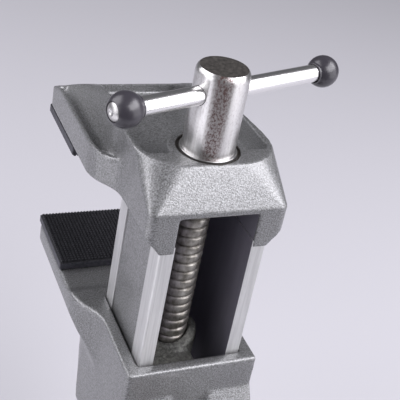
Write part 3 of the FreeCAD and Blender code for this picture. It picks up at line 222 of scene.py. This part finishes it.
def plated_steel(name, tone, rough, dirt, thick=0.56, turned=None):
    """Plated steel with fine streaks from the lathe and brown specks of dirt.

    A piece turned about an upright axis also gets a painted dark reflection down its side towards
    the camera, broken by brown specks, and a lathe's sheen.
    """
    material, tree, shader = node_tree(name)
    streaks = noise(tree, object_place(tree, (1, 1, 0.05)), 1100, 3.0, 0.6)
    specks = noise(tree, object_place(tree, (1, 1, 0.7)), 1500, 3.0, 0.7)
    patches = noise(tree, object_place(tree), 70, 2.0)
    plating = ramp(tree, streaks, [(0.3, grey(tone * 0.78, 0.015)), (0.7, grey(tone, 0.005))])
    dirty = ramp(tree, specks, [(thick - 0.04, grey(0)), (thick + 0.04, grey(dirt))])
    share = multiplied(tree, dirty, ramp(tree, patches, [(0.40, grey(0.4)), (0.6, grey(1.0))]))
    if turned:
        marks = ramp(tree, specks, [(0.42, grey(0.35)), (0.58, grey(0.95))])
        # painted dark reflection: brown down the head's side towards the camera, broken up by the
        # specks
        dark_reflection = multiplied(tree, dark_reflection_band(tree, turned, DARK_REFLECTION_SIDE), marks)
        share = mixed(tree, dark_reflection, share, grey(1))
    tree.links.new(mixed(tree, share, plating, DIRT_AND_DARK_REFLECTION_BROWN), shader.inputs["Base Color"])
    tree.links.new(scaled(tree, share, 1.0, 0.5), shader.inputs["Metallic"])
    tree.links.new(scaled(tree, specks, rough[0], rough[1]), shader.inputs["Roughness"])
    if turned:
        shader.inputs["Anisotropic"].default_value = 0.7
        shader.inputs["Anisotropic Rotation"].default_value = 0.25
        around = tree.nodes.new("ShaderNodeTangent")
        around.direction_type = "RADIAL"
        around.axis = "Z"
        tree.links.new(around.outputs["Tangent"], shader.inputs["Tangent"])
    bumped(tree, shader, streaks, 0.12, 0.03 * MM)
    return material


def bright_nickel():
    material, tree, shader = node_tree("bright_nickel")
    haze = noise(tree, object_place(tree), 300, 4.0, 0.7)
    plating = mixed(tree, haze, grey(0.80, 0.01), grey(0.86, 0.005))
    tree.links.new(plating, shader.inputs["Base Color"])
    shader.inputs["Metallic"].default_value = 1.0
    tree.links.new(scaled(tree, haze, 0.17, 0.27), shader.inputs["Roughness"])
    return material


def greased_steel():
    """The screw: smeared with grease, and brighter where it is rubbed."""
    material, tree, shader = node_tree("greased_steel")
    smear = noise(tree, object_place(tree, (1, 1, 0.5)), 420, 4.0, 0.65)
    colour = ramp(tree, smear, [(0.34, (0.20, 0.185, 0.16)), (0.58, (0.45, 0.43, 0.395)),
                                (0.75, (0.62, 0.605, 0.57))])
    tree.links.new(colour, shader.inputs["Base Color"])
    shader.inputs["Metallic"].default_value = 0.9
    tree.links.new(scaled(tree, smear, 0.56, 0.40), shader.inputs["Roughness"])
    bumped(tree, shader, smear, 0.2, 0.08 * MM)
    return material


def greased_iron():
    """The nut block: a grey casting darkened by grease."""
    material, tree, shader = node_tree("greased_iron")
    grain = noise(tree, object_place(tree), 900, 4.0, 0.65)
    smear = noise(tree, object_place(tree), 160, 3.0, 0.6)
    cast = ramp(tree, grain, [(0.40, (0.05, 0.051, 0.042)), (0.60, (0.26, 0.265, 0.23))])
    tree.links.new(mixed(tree, smear, cast, (0.12, 0.12, 0.115)), shader.inputs["Base Color"])
    shader.inputs["Metallic"].default_value = 0.4
    tree.links.new(scaled(tree, grain, 0.3, 0.55), shader.inputs["Roughness"])
    bumped(tree, shader, grain, 0.9, 0.5 * MM)
    return material


def oiled_channel():
    """The slide's inside: machined, then darkened by oil."""
    material, tree, shader = node_tree("oiled_channel")
    smear = noise(tree, object_place(tree, (1, 1, 0.15)), 260, 4.0, 0.6)
    oiled = mixed(tree, smear, (0.20, 0.19, 0.23), (0.32, 0.31, 0.37))
    tree.links.new(oiled, shader.inputs["Base Color"])
    shader.inputs["Metallic"].default_value = 0.6
    tree.links.new(scaled(tree, smear, 0.36, 0.5), shader.inputs["Roughness"])
    return material


def black_oxide_and_shade(tone):
    """Blackened steel with paler blotches; the moving jaw's recess takes it too, as painted
    shade.
    """
    material, tree, shader = node_tree("black_oxide_and_shade")
    blotches = noise(tree, object_place(tree), 700, 5.0, 0.7)
    colour = ramp(tree, blotches, [(0.35, grey(tone * 0.5, 0.08)), (0.7, grey(tone * 1.9, 0.09))])
    tree.links.new(colour, shader.inputs["Base Color"])
    shader.inputs["Metallic"].default_value = 0.6
    tree.links.new(scaled(tree, blotches, 0.38, 0.58), shader.inputs["Roughness"])
    bumped(tree, shader, blotches, 0.25, 0.05 * MM)
    return material


def glossy_plastic():
    material, tree, shader = node_tree("glossy_plastic")
    haze = noise(tree, object_place(tree), 240, 4.0, 0.6)
    black = mixed(tree, haze, (0.030, 0.027, 0.035), (0.042, 0.039, 0.048))
    tree.links.new(black, shader.inputs["Base Color"])
    tree.links.new(scaled(tree, haze, 0.26, 0.34), shader.inputs["Roughness"])
    shader.inputs["Specular IOR Level"].default_value = 0.7
    return material


def jaw_rubber(name, tone):
    """Black rubber with a little dust on it; a higher tone makes a paler copy, used as painted
    light.
    """
    material, tree, shader = node_tree(name)
    dust = noise(tree, object_place(tree), 700, 5.0, 0.7)
    colour = ramp(tree, dust, [(0.4, (0.010 * tone, 0.010 * tone, 0.013 * tone)),
                               (0.75, (0.030 * tone, 0.030 * tone, 0.036 * tone))])
    tree.links.new(colour, shader.inputs["Base Color"])
    tree.links.new(scaled(tree, dust, 0.45, 0.65), shader.inputs["Roughness"])
    bumped(tree, shader, dust, 0.2, 0.08 * MM)
    return material


# ------------------------------------------------------------- piece helpers

MERGE_GAP = 0.002 * MM         # between a CAD mesh's doubled corners
TURNED_GAP = 0.001 * MM        # between a turned form's doubled corners
FLAT_ANGLE = 0.6               # degrees between triangles of one flat face
EDGE_WIDTH = 0.25 * MM         # softening of a plain piece's edges


def as_object(name, mesh):
    """Put a bmesh into the scene as an object, and free it."""
    data = bpy.data.meshes.new(name)
    mesh.to_mesh(data)
    mesh.free()
    made = bpy.data.objects.new(name, data)
    bpy.context.scene.collection.objects.link(made)
    return made


def finished(name, mesh, body, materials, nodes):
    """Turn a bmesh into a piece that rides on a body in place of CAD nodes."""
    piece = as_object(name, mesh)
    for material in materials:
        piece.data.materials.append(material)
    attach(piece, body)
    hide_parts(*nodes)


def evaluated_form(piece, *spent):
    """The form that an object's modifiers give it; the objects are then removed."""
    graph = bpy.context.evaluated_depsgraph_get()
    result = bpy.data.meshes.new_from_object(piece.evaluated_get(graph))
    for used in (piece, *spent):
        bpy.data.objects.remove(used)
    form = bmesh.new()
    form.from_mesh(result)
    return form


def merged(node):
    """The CAD node's own form with whole faces in place of loose triangles."""
    mesh = bmesh.new()
    mesh.from_mesh(frame["nodes"][node].data)
    bmesh.ops.remove_doubles(mesh, verts=mesh.verts, dist=MERGE_GAP)
    bmesh.ops.dissolve_limit(mesh, angle_limit=math.radians(FLAT_ANGLE),
                             use_dissolve_boundaries=False, verts=mesh.verts, edges=mesh.edges)
    return mesh


def soften(mesh, width, wanted=lambda edge: True, angle=28.0, segments=3):
    """Round the edges that turn more than an angle."""
    sharp = [e for e in mesh.edges if len(e.link_faces) == 2
             and math.degrees(e.calc_face_angle(0.0)) > angle and wanted(e)]
    bmesh.ops.bevel(mesh, geom=sharp, offset=width, offset_type="OFFSET", segments=segments,
                    profile=0.5, affect="EDGES", clamp_overlap=True, material=-1)


def shade(mesh, angle=30.0):
    """Smooth shading, with edges that turn more than an angle left crisp."""
    for face in mesh.faces:
        face.smooth = True
    for edge in mesh.edges:
        turn = math.degrees(edge.calc_face_angle(0.0))
        edge.smooth = len(edge.link_faces) == 2 and turn < angle


def smoothed(mesh, corners):
    bmesh.ops.smooth_vert(mesh, verts=corners, factor=0.5,
                          use_axis_x=True, use_axis_y=True, use_axis_z=True)


def middle_of(edge):
    return (edge.verts[0].co + edge.verts[1].co) / 2


def axis_of(node):
    """Where the upright axis of a turned node stands."""
    low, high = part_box(node)
    return (low.x + high.x) / 2, (low.y + high.y) / 2


def middle_of_box(node):
    low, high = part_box(node)
    return low.lerp(high, 0.5)


def body_of(node):
    bodies = frame["record"]["behaviour"]["bodies"]
    return next(body for body, nodes in bodies.items() if node in nodes)


def slot_of(node):
    subparts = frame["record"]["subparts"]
    return next(part["material_slot"] for part in subparts if part["node"] == node)


def cast_form(name, mesh, voxel, rounds, extra=None):
    """Round every outer and inner corner of a closed form, as a casting's are.

    extra gives the further rounds of smoothing that a place gets.
    """
    raw = as_object(name + "_raw", mesh)
    remesh = raw.modifiers.new("even", "REMESH")
    remesh.mode = "VOXEL"
    remesh.voxel_size = voxel
    soft = evaluated_form(raw)
    for _ in range(rounds):
        smoothed(soft, soft.verts)
    wanted = [(extra(corner.co), corner) for corner in soft.verts] if extra else []
    done = 0
    while chosen := [corner for number, corner in wanted if number > done]:
        smoothed(soft, chosen)
        done += 1
    for face in soft.faces:
        face.smooth = True
    return soft


def revolved(profile, x, y, steps=96):
    """A closed form turned about an upright axis.

    profile is a list of (radius, height) corners that starts and ends on the axis.
    """
    form = bmesh.new()
    corners = [form.verts.new((radius, 0, height)) for radius, height in profile]
    edges = [form.edges.new(pair) for pair in zip(corners, corners[1:])]
    bmesh.ops.spin(form, geom=corners + edges, cent=(0, 0, 0), axis=(0, 0, 1), angle=math.tau,
                   steps=steps, use_merge=True, use_duplicate=False)
    bmesh.ops.remove_doubles(form, verts=form.verts, dist=TURNED_GAP)
    bmesh.ops.recalc_face_normals(form, faces=form.faces)
    bmesh.ops.translate(form, verts=form.verts, vec=(x, y, 0))
    return form


def add_form(mesh, other):
    """Add another form's faces to a mesh, and free the other."""
    data = bpy.data.meshes.new("added")
    other.to_mesh(data)
    other.free()
    mesh.from_mesh(data)


def machined(mesh, cutter):
    """Cut a form out of a casting after its corners are rounded, so that the cut stays crisp."""
    casting = as_object("casting", mesh)
    tool = as_object("cutter", cutter)
    cut = casting.modifiers.new("cut", "BOOLEAN")
    cut.operation = "DIFFERENCE"
    cut.solver = "EXACT"
    cut.object = tool
    return evaluated_form(casting, tool)


def trimmed(mesh, place, normal):
    """Keep what lies on the far side of a plane and close the cut."""
    result = bmesh.ops.bisect_plane(mesh, geom=mesh.verts[:] + mesh.edges[:] + mesh.faces[:],
                                    dist=1e-7, plane_co=place, plane_no=normal, clear_inner=True)
    rim = [e for e in result["geom_cut"] if isinstance(e, bmesh.types.BMEdge)]
    bmesh.ops.triangle_fill(mesh, use_beauty=True, use_dissolve=False, edges=rim)
    bmesh.ops.recalc_face_normals(mesh, faces=mesh.faces)
    return mesh


# ------------------------------------------------------- finishes by material

PAINT = hammertone_paint()
BARE = milled_aluminium()
STEEL = plated_steel("turned_steel", 0.80, (0.26, 0.38), 0.35, thick=0.55,
                     turned=middle_of_box("thrust_washer"))
ZINC = plated_steel("zinc_plate", 0.58, (0.28, 0.4), 0.2)
NICKEL = bright_nickel()
GREASED = greased_steel()
IRON = greased_iron()
CHANNEL = oiled_channel()
BLACK = black_oxide_and_shade(0.07)
PLASTIC = glossy_plastic()
RUBBER = jaw_rubber("jaw_rubber", 1.05)
# the pads' sides take a paler copy of the rubber: painted light, as if lit from the side
RUBBER_SIDE_PAINTED_LIGHT = jaw_rubber("jaw_rubber_side_painted_light", 3.2)

FINISHES = {
    "painted_casting": PAINT,
    "jaw_rubber": RUBBER,
    "black_rubber": RUBBER,
    "black_plastic": PLASTIC,
    "ground_steel": STEEL,
    "plated_steel": ZINC,
    "spring_steel": BLACK,
    "dark_iron": IRON,
    "bright_nickel": NICKEL,
}

# ---------------------------------------------------------------- moving jaw

CAST_VOXEL = 0.55 * MM
MOVING_ROUNDS = 3              # of smoothing, over the whole moving casting
FOUND = 0.1 * MM               # how near a face or edge lies to the place it is found by

PAD_WALL = 4.3 * MM            # a jaw pad without its pegs
FOOT_DROP = 6.8 * MM           # the casting's foot below the moving pad's seat
CAST_OVERLAP = 0.3 * MM        # the casting reaches this far below its foot
SLIDE_OVERLAP = 0.05 * MM      # and the slide this far below it too
HIDDEN_RISE = 2.5 * MM         # the slide's cut end, up into the casting
HIDDEN_INSET = 0.5 * MM

RAIL_HALF = 21.0 * MM          # half the slide's width
RAIL_DEPTH = 42.2 * MM
CHANNEL_HALF = 15.2 * MM       # half the width of the room around the screw
CHANNEL_IN_CASTING = 13 * MM   # from the casting's foot to just above the channel's roof
CHANNEL_FRONT = 0.8 * MM       # where the oiled walls begin, behind the slide's open side
CHANNEL_BACK = 0.5 * MM
CHANNEL_SPARE = 0.3 * MM
SLIDE_RELIEF = 0.4 * MM        # depth of the painted strips along the slide's sides
LEG_EDGE = 0.5 * MM            # chamfer of the slide's milled edges

RECESS_RADIUS = 11.5 * MM      # round the spindle's head
RECESS_MOUTH = RECESS_RADIUS + 0.5 * MM
RECESS_EDGE = 0.25 * MM
PLUG_DEPTH = 5 * MM            # fills the CAD's recess before its crisp one is cut
TOOL_RISE = 2 * MM

SCOOP_START = 66 * MM          # the wings' hollow begins here, towards the tip
SCOOP_TIP = 9 * MM             # and ends this far from the tip
SCOOP_FLOOR = 5 * MM           # above the pad's seat
SCOOP_RIM = 33.6 * MM          # from the middle of the jaw
RIDGE_PLACE = 88 * MM          # where the ridge lies RIDGE_SIDE from the middle
RIDGE_SIDE = 24.7 * MM
RIDGE_TAPER = 0.148
RIDGE_SPARE = 1 * MM
SCOOP_STEP = 0.06 * MM         # each such step inside the hollow gets one more round
SCOOP_ROUNDS = 90


def in_channel(place, front):
    """Whether a place is on the walls around the screw."""
    return (abs(place.x) < CHANNEL_HALF + CHANNEL_SPARE
            and front + CHANNEL_FRONT < place.y < front + RAIL_DEPTH - CHANNEL_BACK)


def hidden_end(slide, level):
    """Run the slide's cut end up into the casting, a little narrower."""
    middle = Vector((0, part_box("moving_jaw")[0].y + RAIL_DEPTH / 2, 0))
    for corner in slide.verts:
        if corner.co.z > level:
            inward = middle - corner.co
            inward.z = 0
            corner.co += inward.normalized() * HIDDEN_INSET
            corner.co.z += HIDDEN_RISE


def make_moving_casting(foot, seat, low, high):
    """The jaw, its wings and the boss, with the recess around the spindle's head, whose walls and
    floor are painted black as shade.
    """
    upper = trimmed(merged("moving_jaw"), (0, 0, foot - CAST_OVERLAP), (0, 0, 1))
    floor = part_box("thrust_washer")[0].z
    x, y = axis_of("thrust_washer")
    plug = [(0, floor - PLUG_DEPTH), (RECESS_MOUTH, floor - PLUG_DEPTH),
            (RECESS_MOUTH, high.z), (0, high.z)]
    add_form(upper, revolved(plug, x, y))
    bmesh.ops.triangulate(upper, faces=upper.faces)

    def in_scoop(place):
        """Further rounds of smoothing, fewer toward the hollow's ends."""
        ridge = RIDGE_SIDE - RIDGE_TAPER * (place.y - RIDGE_PLACE)
        inside = min(place.y - SCOOP_START, abs(place.x) - ridge - RIDGE_SPARE,
                     place.z - seat - SCOOP_FLOOR, (SCOOP_RIM - abs(place.x)) * 2,
                     (high.y - SCOOP_TIP - place.y) / 2)
        return min(SCOOP_ROUNDS, inside / SCOOP_STEP)

    casting = cast_form("moving_jaw_casting", upper, CAST_VOXEL, MOVING_ROUNDS, in_scoop)
    recess = [(0, floor), (RECESS_RADIUS, floor), (RECESS_RADIUS, high.z - RECESS_EDGE),
              (RECESS_MOUTH, high.z + RECESS_EDGE), (RECESS_MOUTH, high.z + TOOL_RISE),
              (0, high.z + TOOL_RISE)]
    casting = machined(casting, revolved(recess, x, y))
    shade(casting)
    materials = [PAINT, BLACK, CHANNEL]
    for face in casting.faces:
        middle = face.calc_center_median()
        out = math.hypot(middle.x - x, middle.y - y)
        # painted shade: the recess's walls and floor round the spindle's head take the black
        # finish
        if out < RECESS_RADIUS + 2 * FOUND and middle.z > floor - FOUND:
            face.material_index = materials.index(BLACK)
        elif in_channel(middle, low.y) and middle.z < foot + CHANNEL_IN_CASTING:
            face.material_index = materials.index(CHANNEL)
    finished("moving_jaw_casting", casting, "sliding_jaw", materials,
             ["moving_jaw"])


def make_slide(foot, low):
    """The milled U that slides in the fixed jaw, painted along its sides."""
    def milled_edge(edge):
        middle = middle_of(edge)
        return abs(middle.x) > RAIL_HALF - FOUND and (
            middle.y < low.y + FOUND or middle.y > low.y + RAIL_DEPTH - FOUND)

    slide = trimmed(merged("moving_jaw"), (0, 0, foot - SLIDE_OVERLAP), (0, 0, -1))
    soften(slide, LEG_EDGE, milled_edge, segments=1)
    shade(slide)
    materials = [BARE, PAINT, CHANNEL]
    for face in slide.faces:
        middle = face.calc_center_median()
        sideways = abs(face.normal.x) > 0.9
        if in_channel(middle, low.y):
            face.material_index = materials.index(CHANNEL)
        elif sideways and abs(abs(middle.x) - RAIL_HALF + SLIDE_RELIEF) < FOUND / 2:
            face.material_index = materials.index(PAINT)
        else:
            face.material_index = materials.index(BARE)
    hidden_end(slide, foot - FOUND)
    finished("slide", slide, "sliding_jaw", materials, ["moving_jaw"])


def make_moving_jaw():
    low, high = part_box("moving_jaw")
    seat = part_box("moving_jaw_pad")[0].z + PAD_WALL
    foot = seat - FOOT_DROP
    make_moving_casting(foot, seat, low, high)
    make_slide(foot, low)


# ------------------------------------------------------- fixed jaw, castings

FIXED_ROUNDS = 8
RIM_BAND = 4 * MM              # the fixed jaw's rim, down from its top and back from its front
RIM_ROUNDS = 6
RIM_FRONT_ROUNDS = 22
WEB_START = 55 * MM            # the webs under the wings: from here towards the tip
WEB_SIDE = 22 * MM             # and outside this half width
WEB_LOW = 38 * MM              # below the rim
WEB_HIGH = 15 * MM
WEB_STEP = 0.08 * MM           # each such step inside the web's height gets one more round
WEB_ROUNDS = 80

BASE_CASTINGS = (              # node, voxel, rounds of smoothing
    ("turret", 0.7 * MM, 5),
    ("clamp_cheek", 0.6 * MM, 5),
    ("base_cover", 0.8 * MM, 5),
    ("spindle_nut", 0.4 * MM, 18),
)


def make_fixed_jaw():
    form = merged("fixed_jaw")
    bmesh.ops.triangulate(form, faces=form.faces)
    low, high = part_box("fixed_jaw")

    def edges_and_webs(place):
        """Further rounds of smoothing at the rim's edges and under the wings."""
        if place.z > high.z - RIM_BAND:
            return RIM_FRONT_ROUNDS if place.y < low.y + RIM_BAND else RIM_ROUNDS
        if place.y > WEB_START and abs(place.x) > WEB_SIDE:
            inside = min(place.z - high.z + WEB_LOW, high.z - WEB_HIGH - place.z)
            return min(WEB_ROUNDS, inside / WEB_STEP)
        return 0

    casting = cast_form("fixed_jaw_casting", form, CAST_VOXEL, FIXED_ROUNDS, edges_and_webs)
    finished("fixed_jaw_casting", casting, "head", [PAINT], ["fixed_jaw"])


def make_castings():
    for node, voxel, rounds in BASE_CASTINGS:
        form = merged(node)
        bmesh.ops.triangulate(form, faces=form.faces)
        casting = cast_form(node + "_form", form, voxel, rounds)
        slot = slot_of(node)
        finished(node + "_form", casting, body_of(node), [FINISHES[slot]], [node])


# ----------------------------------------------------------- spindle and bar

SCREW_RADIUS = 6.0 * MM
THREAD_DEPTH = 1.15 * MM
THREAD_PITCH = 4.0 * MM
THREAD_FULLNESS = 3.0      # how wide the rounded crests are
THREAD_STEPS = 40          # faces in a turn
PROFILE_STEPS = 10         # faces across a thread
SPARE_TURNS = 2
HEAD_EDGE = 0.2 * MM
SCREW_OVERLAP = 0.1 * MM   # where the head's form and the thread's meet
TOP_BAND = 0.3 * MM
BAR_END = 1 * MM


def thread_radius(share):
    """Radius of the rounded thread at a share of its pitch."""
    crest = (1 - abs(2 * share - 1) ** THREAD_FULLNESS) ** 0.5
    return SCREW_RADIUS - THREAD_DEPTH * (1 - crest)


def make_spindle_head(high, joint):
    """Everything above the clip, with a blackened end."""
    head = trimmed(merged("spindle"), (0, 0, joint - SCREW_OVERLAP), (0, 0, 1))
    soften(head, HEAD_EDGE, angle=40)
    shade(head)
    materials = [STEEL, BLACK]
    for face in head.faces:
        if face.normal.z > 0.95 and face.calc_center_median().z > high.z - TOP_BAND:
            face.material_index = materials.index(BLACK)
    finished("spindle_head", head, "screw", materials, ["spindle"])


def make_thread(low, joint):
    """The screw below the clip: a thread's profile run up round the axis."""
    screw = bmesh.new()
    corners = []
    for step in range(PROFILE_STEPS + 1):
        share = step / PROFILE_STEPS
        corners.append(screw.verts.new((thread_radius(share), 0, share * THREAD_PITCH)))
    edges = [screw.edges.new(pair) for pair in zip(corners, corners[1:])]
    turns = math.ceil((joint - low.z) / THREAD_PITCH) + SPARE_TURNS
    bmesh.ops.spin(screw, geom=corners + edges, cent=(0, 0, 0), axis=(0, 0, 1),
                   angle=math.tau * turns, steps=THREAD_STEPS * turns,
                   dvec=(0, 0, THREAD_PITCH / THREAD_STEPS), use_duplicate=False)
    bmesh.ops.remove_doubles(screw, verts=screw.verts, dist=TURNED_GAP)
    bmesh.ops.translate(screw, verts=screw.verts,
                        vec=(*axis_of("spindle"), low.z - 1.5 * THREAD_PITCH))
    trimmed(screw, (0, 0, low.z), (0, 0, 1))
    trimmed(screw, (0, 0, joint + SCREW_OVERLAP), (0, 0, -1))
    shade(screw, 50)
    finished("screw_thread", screw, "screw", [GREASED], ["spindle"])


def make_spindle():
    low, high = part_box("spindle")
    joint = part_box("spindle_clip")[0].z
    make_spindle_head(high, joint)
    make_thread(low, joint)


def make_bar():
    """The bar is polished, and dull where its ends were turned off."""
    bar = merged("tommy_bar")
    soften(bar, EDGE_WIDTH)
    shade(bar)
    middle = middle_of_box("tommy_bar")
    half = max((corner.co - middle).length for corner in bar.verts)
    materials = [NICKEL, ZINC]
    for face in bar.faces:
        if (face.calc_center_median() - middle).length > half - BAR_END:
            face.material_index = materials.index(ZINC)
    finished("tommy_bar_form", bar, body_of("tommy_bar"), materials,
             ["tommy_bar"])


# --------------------------------------------------------------------- pads

RIB_PITCH = 1.5 * MM
RIB_HEIGHT = 0.8 * MM
RIB_BORDER = 1.2 * MM      # plain strips at the two ends, or sides, together
RIB_NARROWING = 0.5        # of a rib's top, across the jaw
RIB_SHORTENING = 0.35      # and along it
PAD_EDGE = 0.5 * MM


def make_ribs(length, depth, middle, level, up):
    """A field of small blunt studs on a pad's gripping face."""
    ribs = bmesh.new()
    bmesh.ops.create_grid(ribs, x_segments=round(length / RIB_PITCH),
                          y_segments=round(depth / RIB_PITCH), size=0.5)
    bmesh.ops.scale(ribs, verts=ribs.verts, vec=(length - RIB_BORDER, depth - RIB_BORDER, 1))
    bmesh.ops.translate(ribs, verts=ribs.verts, vec=(middle.x, middle.y, level))
    bmesh.ops.split_edges(ribs, edges=ribs.edges)
    for cell in ribs.faces:
        cell.normal_update()
    tops = bmesh.ops.extrude_discrete_faces(ribs, faces=ribs.faces[:])["faces"]
    for top in tops:
        bmesh.ops.translate(ribs, verts=top.verts, vec=(0, 0, up * RIB_HEIGHT))
        centre = top.calc_center_median()
        for corner in top.verts:
            corner.co.x += (centre.x - corner.co.x) * RIB_NARROWING
            corner.co.y += (centre.y - corner.co.y) * RIB_SHORTENING
    return ribs


def make_pad(node, body, up):
    """A rubber pad whose ribs face up or, at -1, down."""
    low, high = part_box(node)
    length, depth = high.x - low.x, high.y - low.y
    face_z = high.z if up > 0 else low.z
    back_z = face_z - up * PAD_WALL
    plate = PAD_WALL - RIB_HEIGHT
    middle = Vector(((low.x + high.x) / 2, (low.y + high.y) / 2, back_z + up * plate / 2))
    pad = bmesh.new()
    bmesh.ops.create_cube(pad, size=1)
    bmesh.ops.scale(pad, verts=pad.verts, vec=(length, depth, plate))
    bmesh.ops.translate(pad, verts=pad.verts, vec=middle)
    soften(pad, PAD_EDGE, angle=60)
    materials = [RUBBER, RUBBER_SIDE_PAINTED_LIGHT]
    for face in pad.faces:
        # painted light: the pad's sides take the paler rubber
        edge = abs(face.normal.z) < 0.5
        face.material_index = materials.index(RUBBER_SIDE_PAINTED_LIGHT if edge else RUBBER)
    add_form(pad, make_ribs(length, depth, middle, face_z - up * RIB_HEIGHT, up))
    bmesh.ops.recalc_face_normals(pad, faces=pad.faces)
    finished(node + "_ribbed", pad, body, materials, [node])


# ------------------------------------------------------------ plain pieces

OWN_FORMS = {"moving_jaw", "fixed_jaw", "turret", "clamp_cheek", "base_cover", "spindle_nut",
             "spindle", "tommy_bar", "fixed_jaw_pad", "moving_jaw_pad"}


def dress_all():
    """Every other CAD node with softened edges and its finish."""
    for node in sorted(frame["nodes"]):
        if node in OWN_FORMS:
            continue
        mesh = merged(node)
        soften(mesh, EDGE_WIDTH)
        shade(mesh)
        slot = slot_of(node)
        finished(node + "_form", mesh, body_of(node), [FINISHES[slot]], [node])


# -------------------------------------------------------------------- stage

FLOOR_GLOW = 0.30
TABLE_HALF = 4.0
TABLE_FRONT = -0.27        # the table's front edge, just before the vise
LAMP_TINT = (1.0, 0.985, 1.035)
WORLD_TINT = (0.60, 0.60, 0.64, 1)
WORLD_STRENGTH = 0.21

VISE_MIDDLE = (0, 0.05, 0.2)
LAMPS = (                  # name, place, aimed at, width, height, watts
    ("key_softbox", (0.48, -0.38, 0.83), VISE_MIDDLE, 1.2, 0.6, 12.5),
    ("right_softbox", (0.70, -0.45, 0.28), VISE_MIDDLE, 0.9, 0.8, 3.6),
    ("high_softbox", (0.66, 0.05, 0.84), VISE_MIDDLE, 0.5, 0.5, 0.9),
    ("left_softbox", (-0.72, 0.42, 0.86), VISE_MIDDLE, 1.0, 0.9, 9.2),
    ("side_softbox", (-0.97, -0.16, 0.40), VISE_MIDDLE, 0.6, 0.7, 3.0),
    ("table_left", (-0.36, -0.02, 0.004), (-0.36, -0.02, 1), 0.3, 0.4, 0.35),
)


def plain_floor():
    """A pale table that glows a little."""
    material, _, shader = node_tree("plain_floor")
    shader.inputs["Base Color"].default_value = (0.40, 0.395, 0.42, 1)
    shader.inputs["Roughness"].default_value = 0.9
    shader.inputs["Specular IOR Level"].default_value = 0.1
    shader.inputs["Emission Color"].default_value = (0.60, 0.59, 0.65, 1)
    shader.inputs["Emission Strength"].default_value = FLOOR_GLOW
    return material


def add_stage():
    """A wide table under the vise."""
    mesh = bmesh.new()
    bmesh.ops.create_grid(mesh, x_segments=1, y_segments=1, size=TABLE_HALF)
    bmesh.ops.translate(mesh, verts=mesh.verts, vec=(0, TABLE_HALF + TABLE_FRONT, 0))
    floor = as_object("floor", mesh)
    floor.data.materials.append(plain_floor())


def add_lamp(name, place, target, width, height, watts):
    data = bpy.data.lights.new(name, "AREA")
    data.shape = "RECTANGLE"
    data.size = width
    data.size_y = height
    data.energy = watts
    data.color = LAMP_TINT
    lamp = bpy.data.objects.new(name, data)
    bpy.context.scene.collection.objects.link(lamp)
    lamp.location = place
    aim = Vector(target) - Vector(place)
    lamp.rotation_euler = aim.to_track_quat("-Z", "Y").to_euler()
    lamp.visible_camera = False


def add_lights():
    for lamp in LAMPS:
        add_lamp(*lamp)
    world = bpy.data.worlds.new("studio")
    bpy.context.scene.world = world
    world.use_nodes = True
    background = world.node_tree.nodes["Background"]
    background.inputs["Color"].default_value = WORLD_TINT
    background.inputs["Strength"].default_value = WORLD_STRENGTH


add_camera()
make_moving_jaw()
make_fixed_jaw()
make_castings()
make_spindle()
make_bar()
make_pad("fixed_jaw_pad", "head", 1)
make_pad("moving_jaw_pad", "sliding_jaw", -1)
dress_all()
add_stage()
add_lights()
bpy.context.scene.view_settings.view_transform = "Standard"
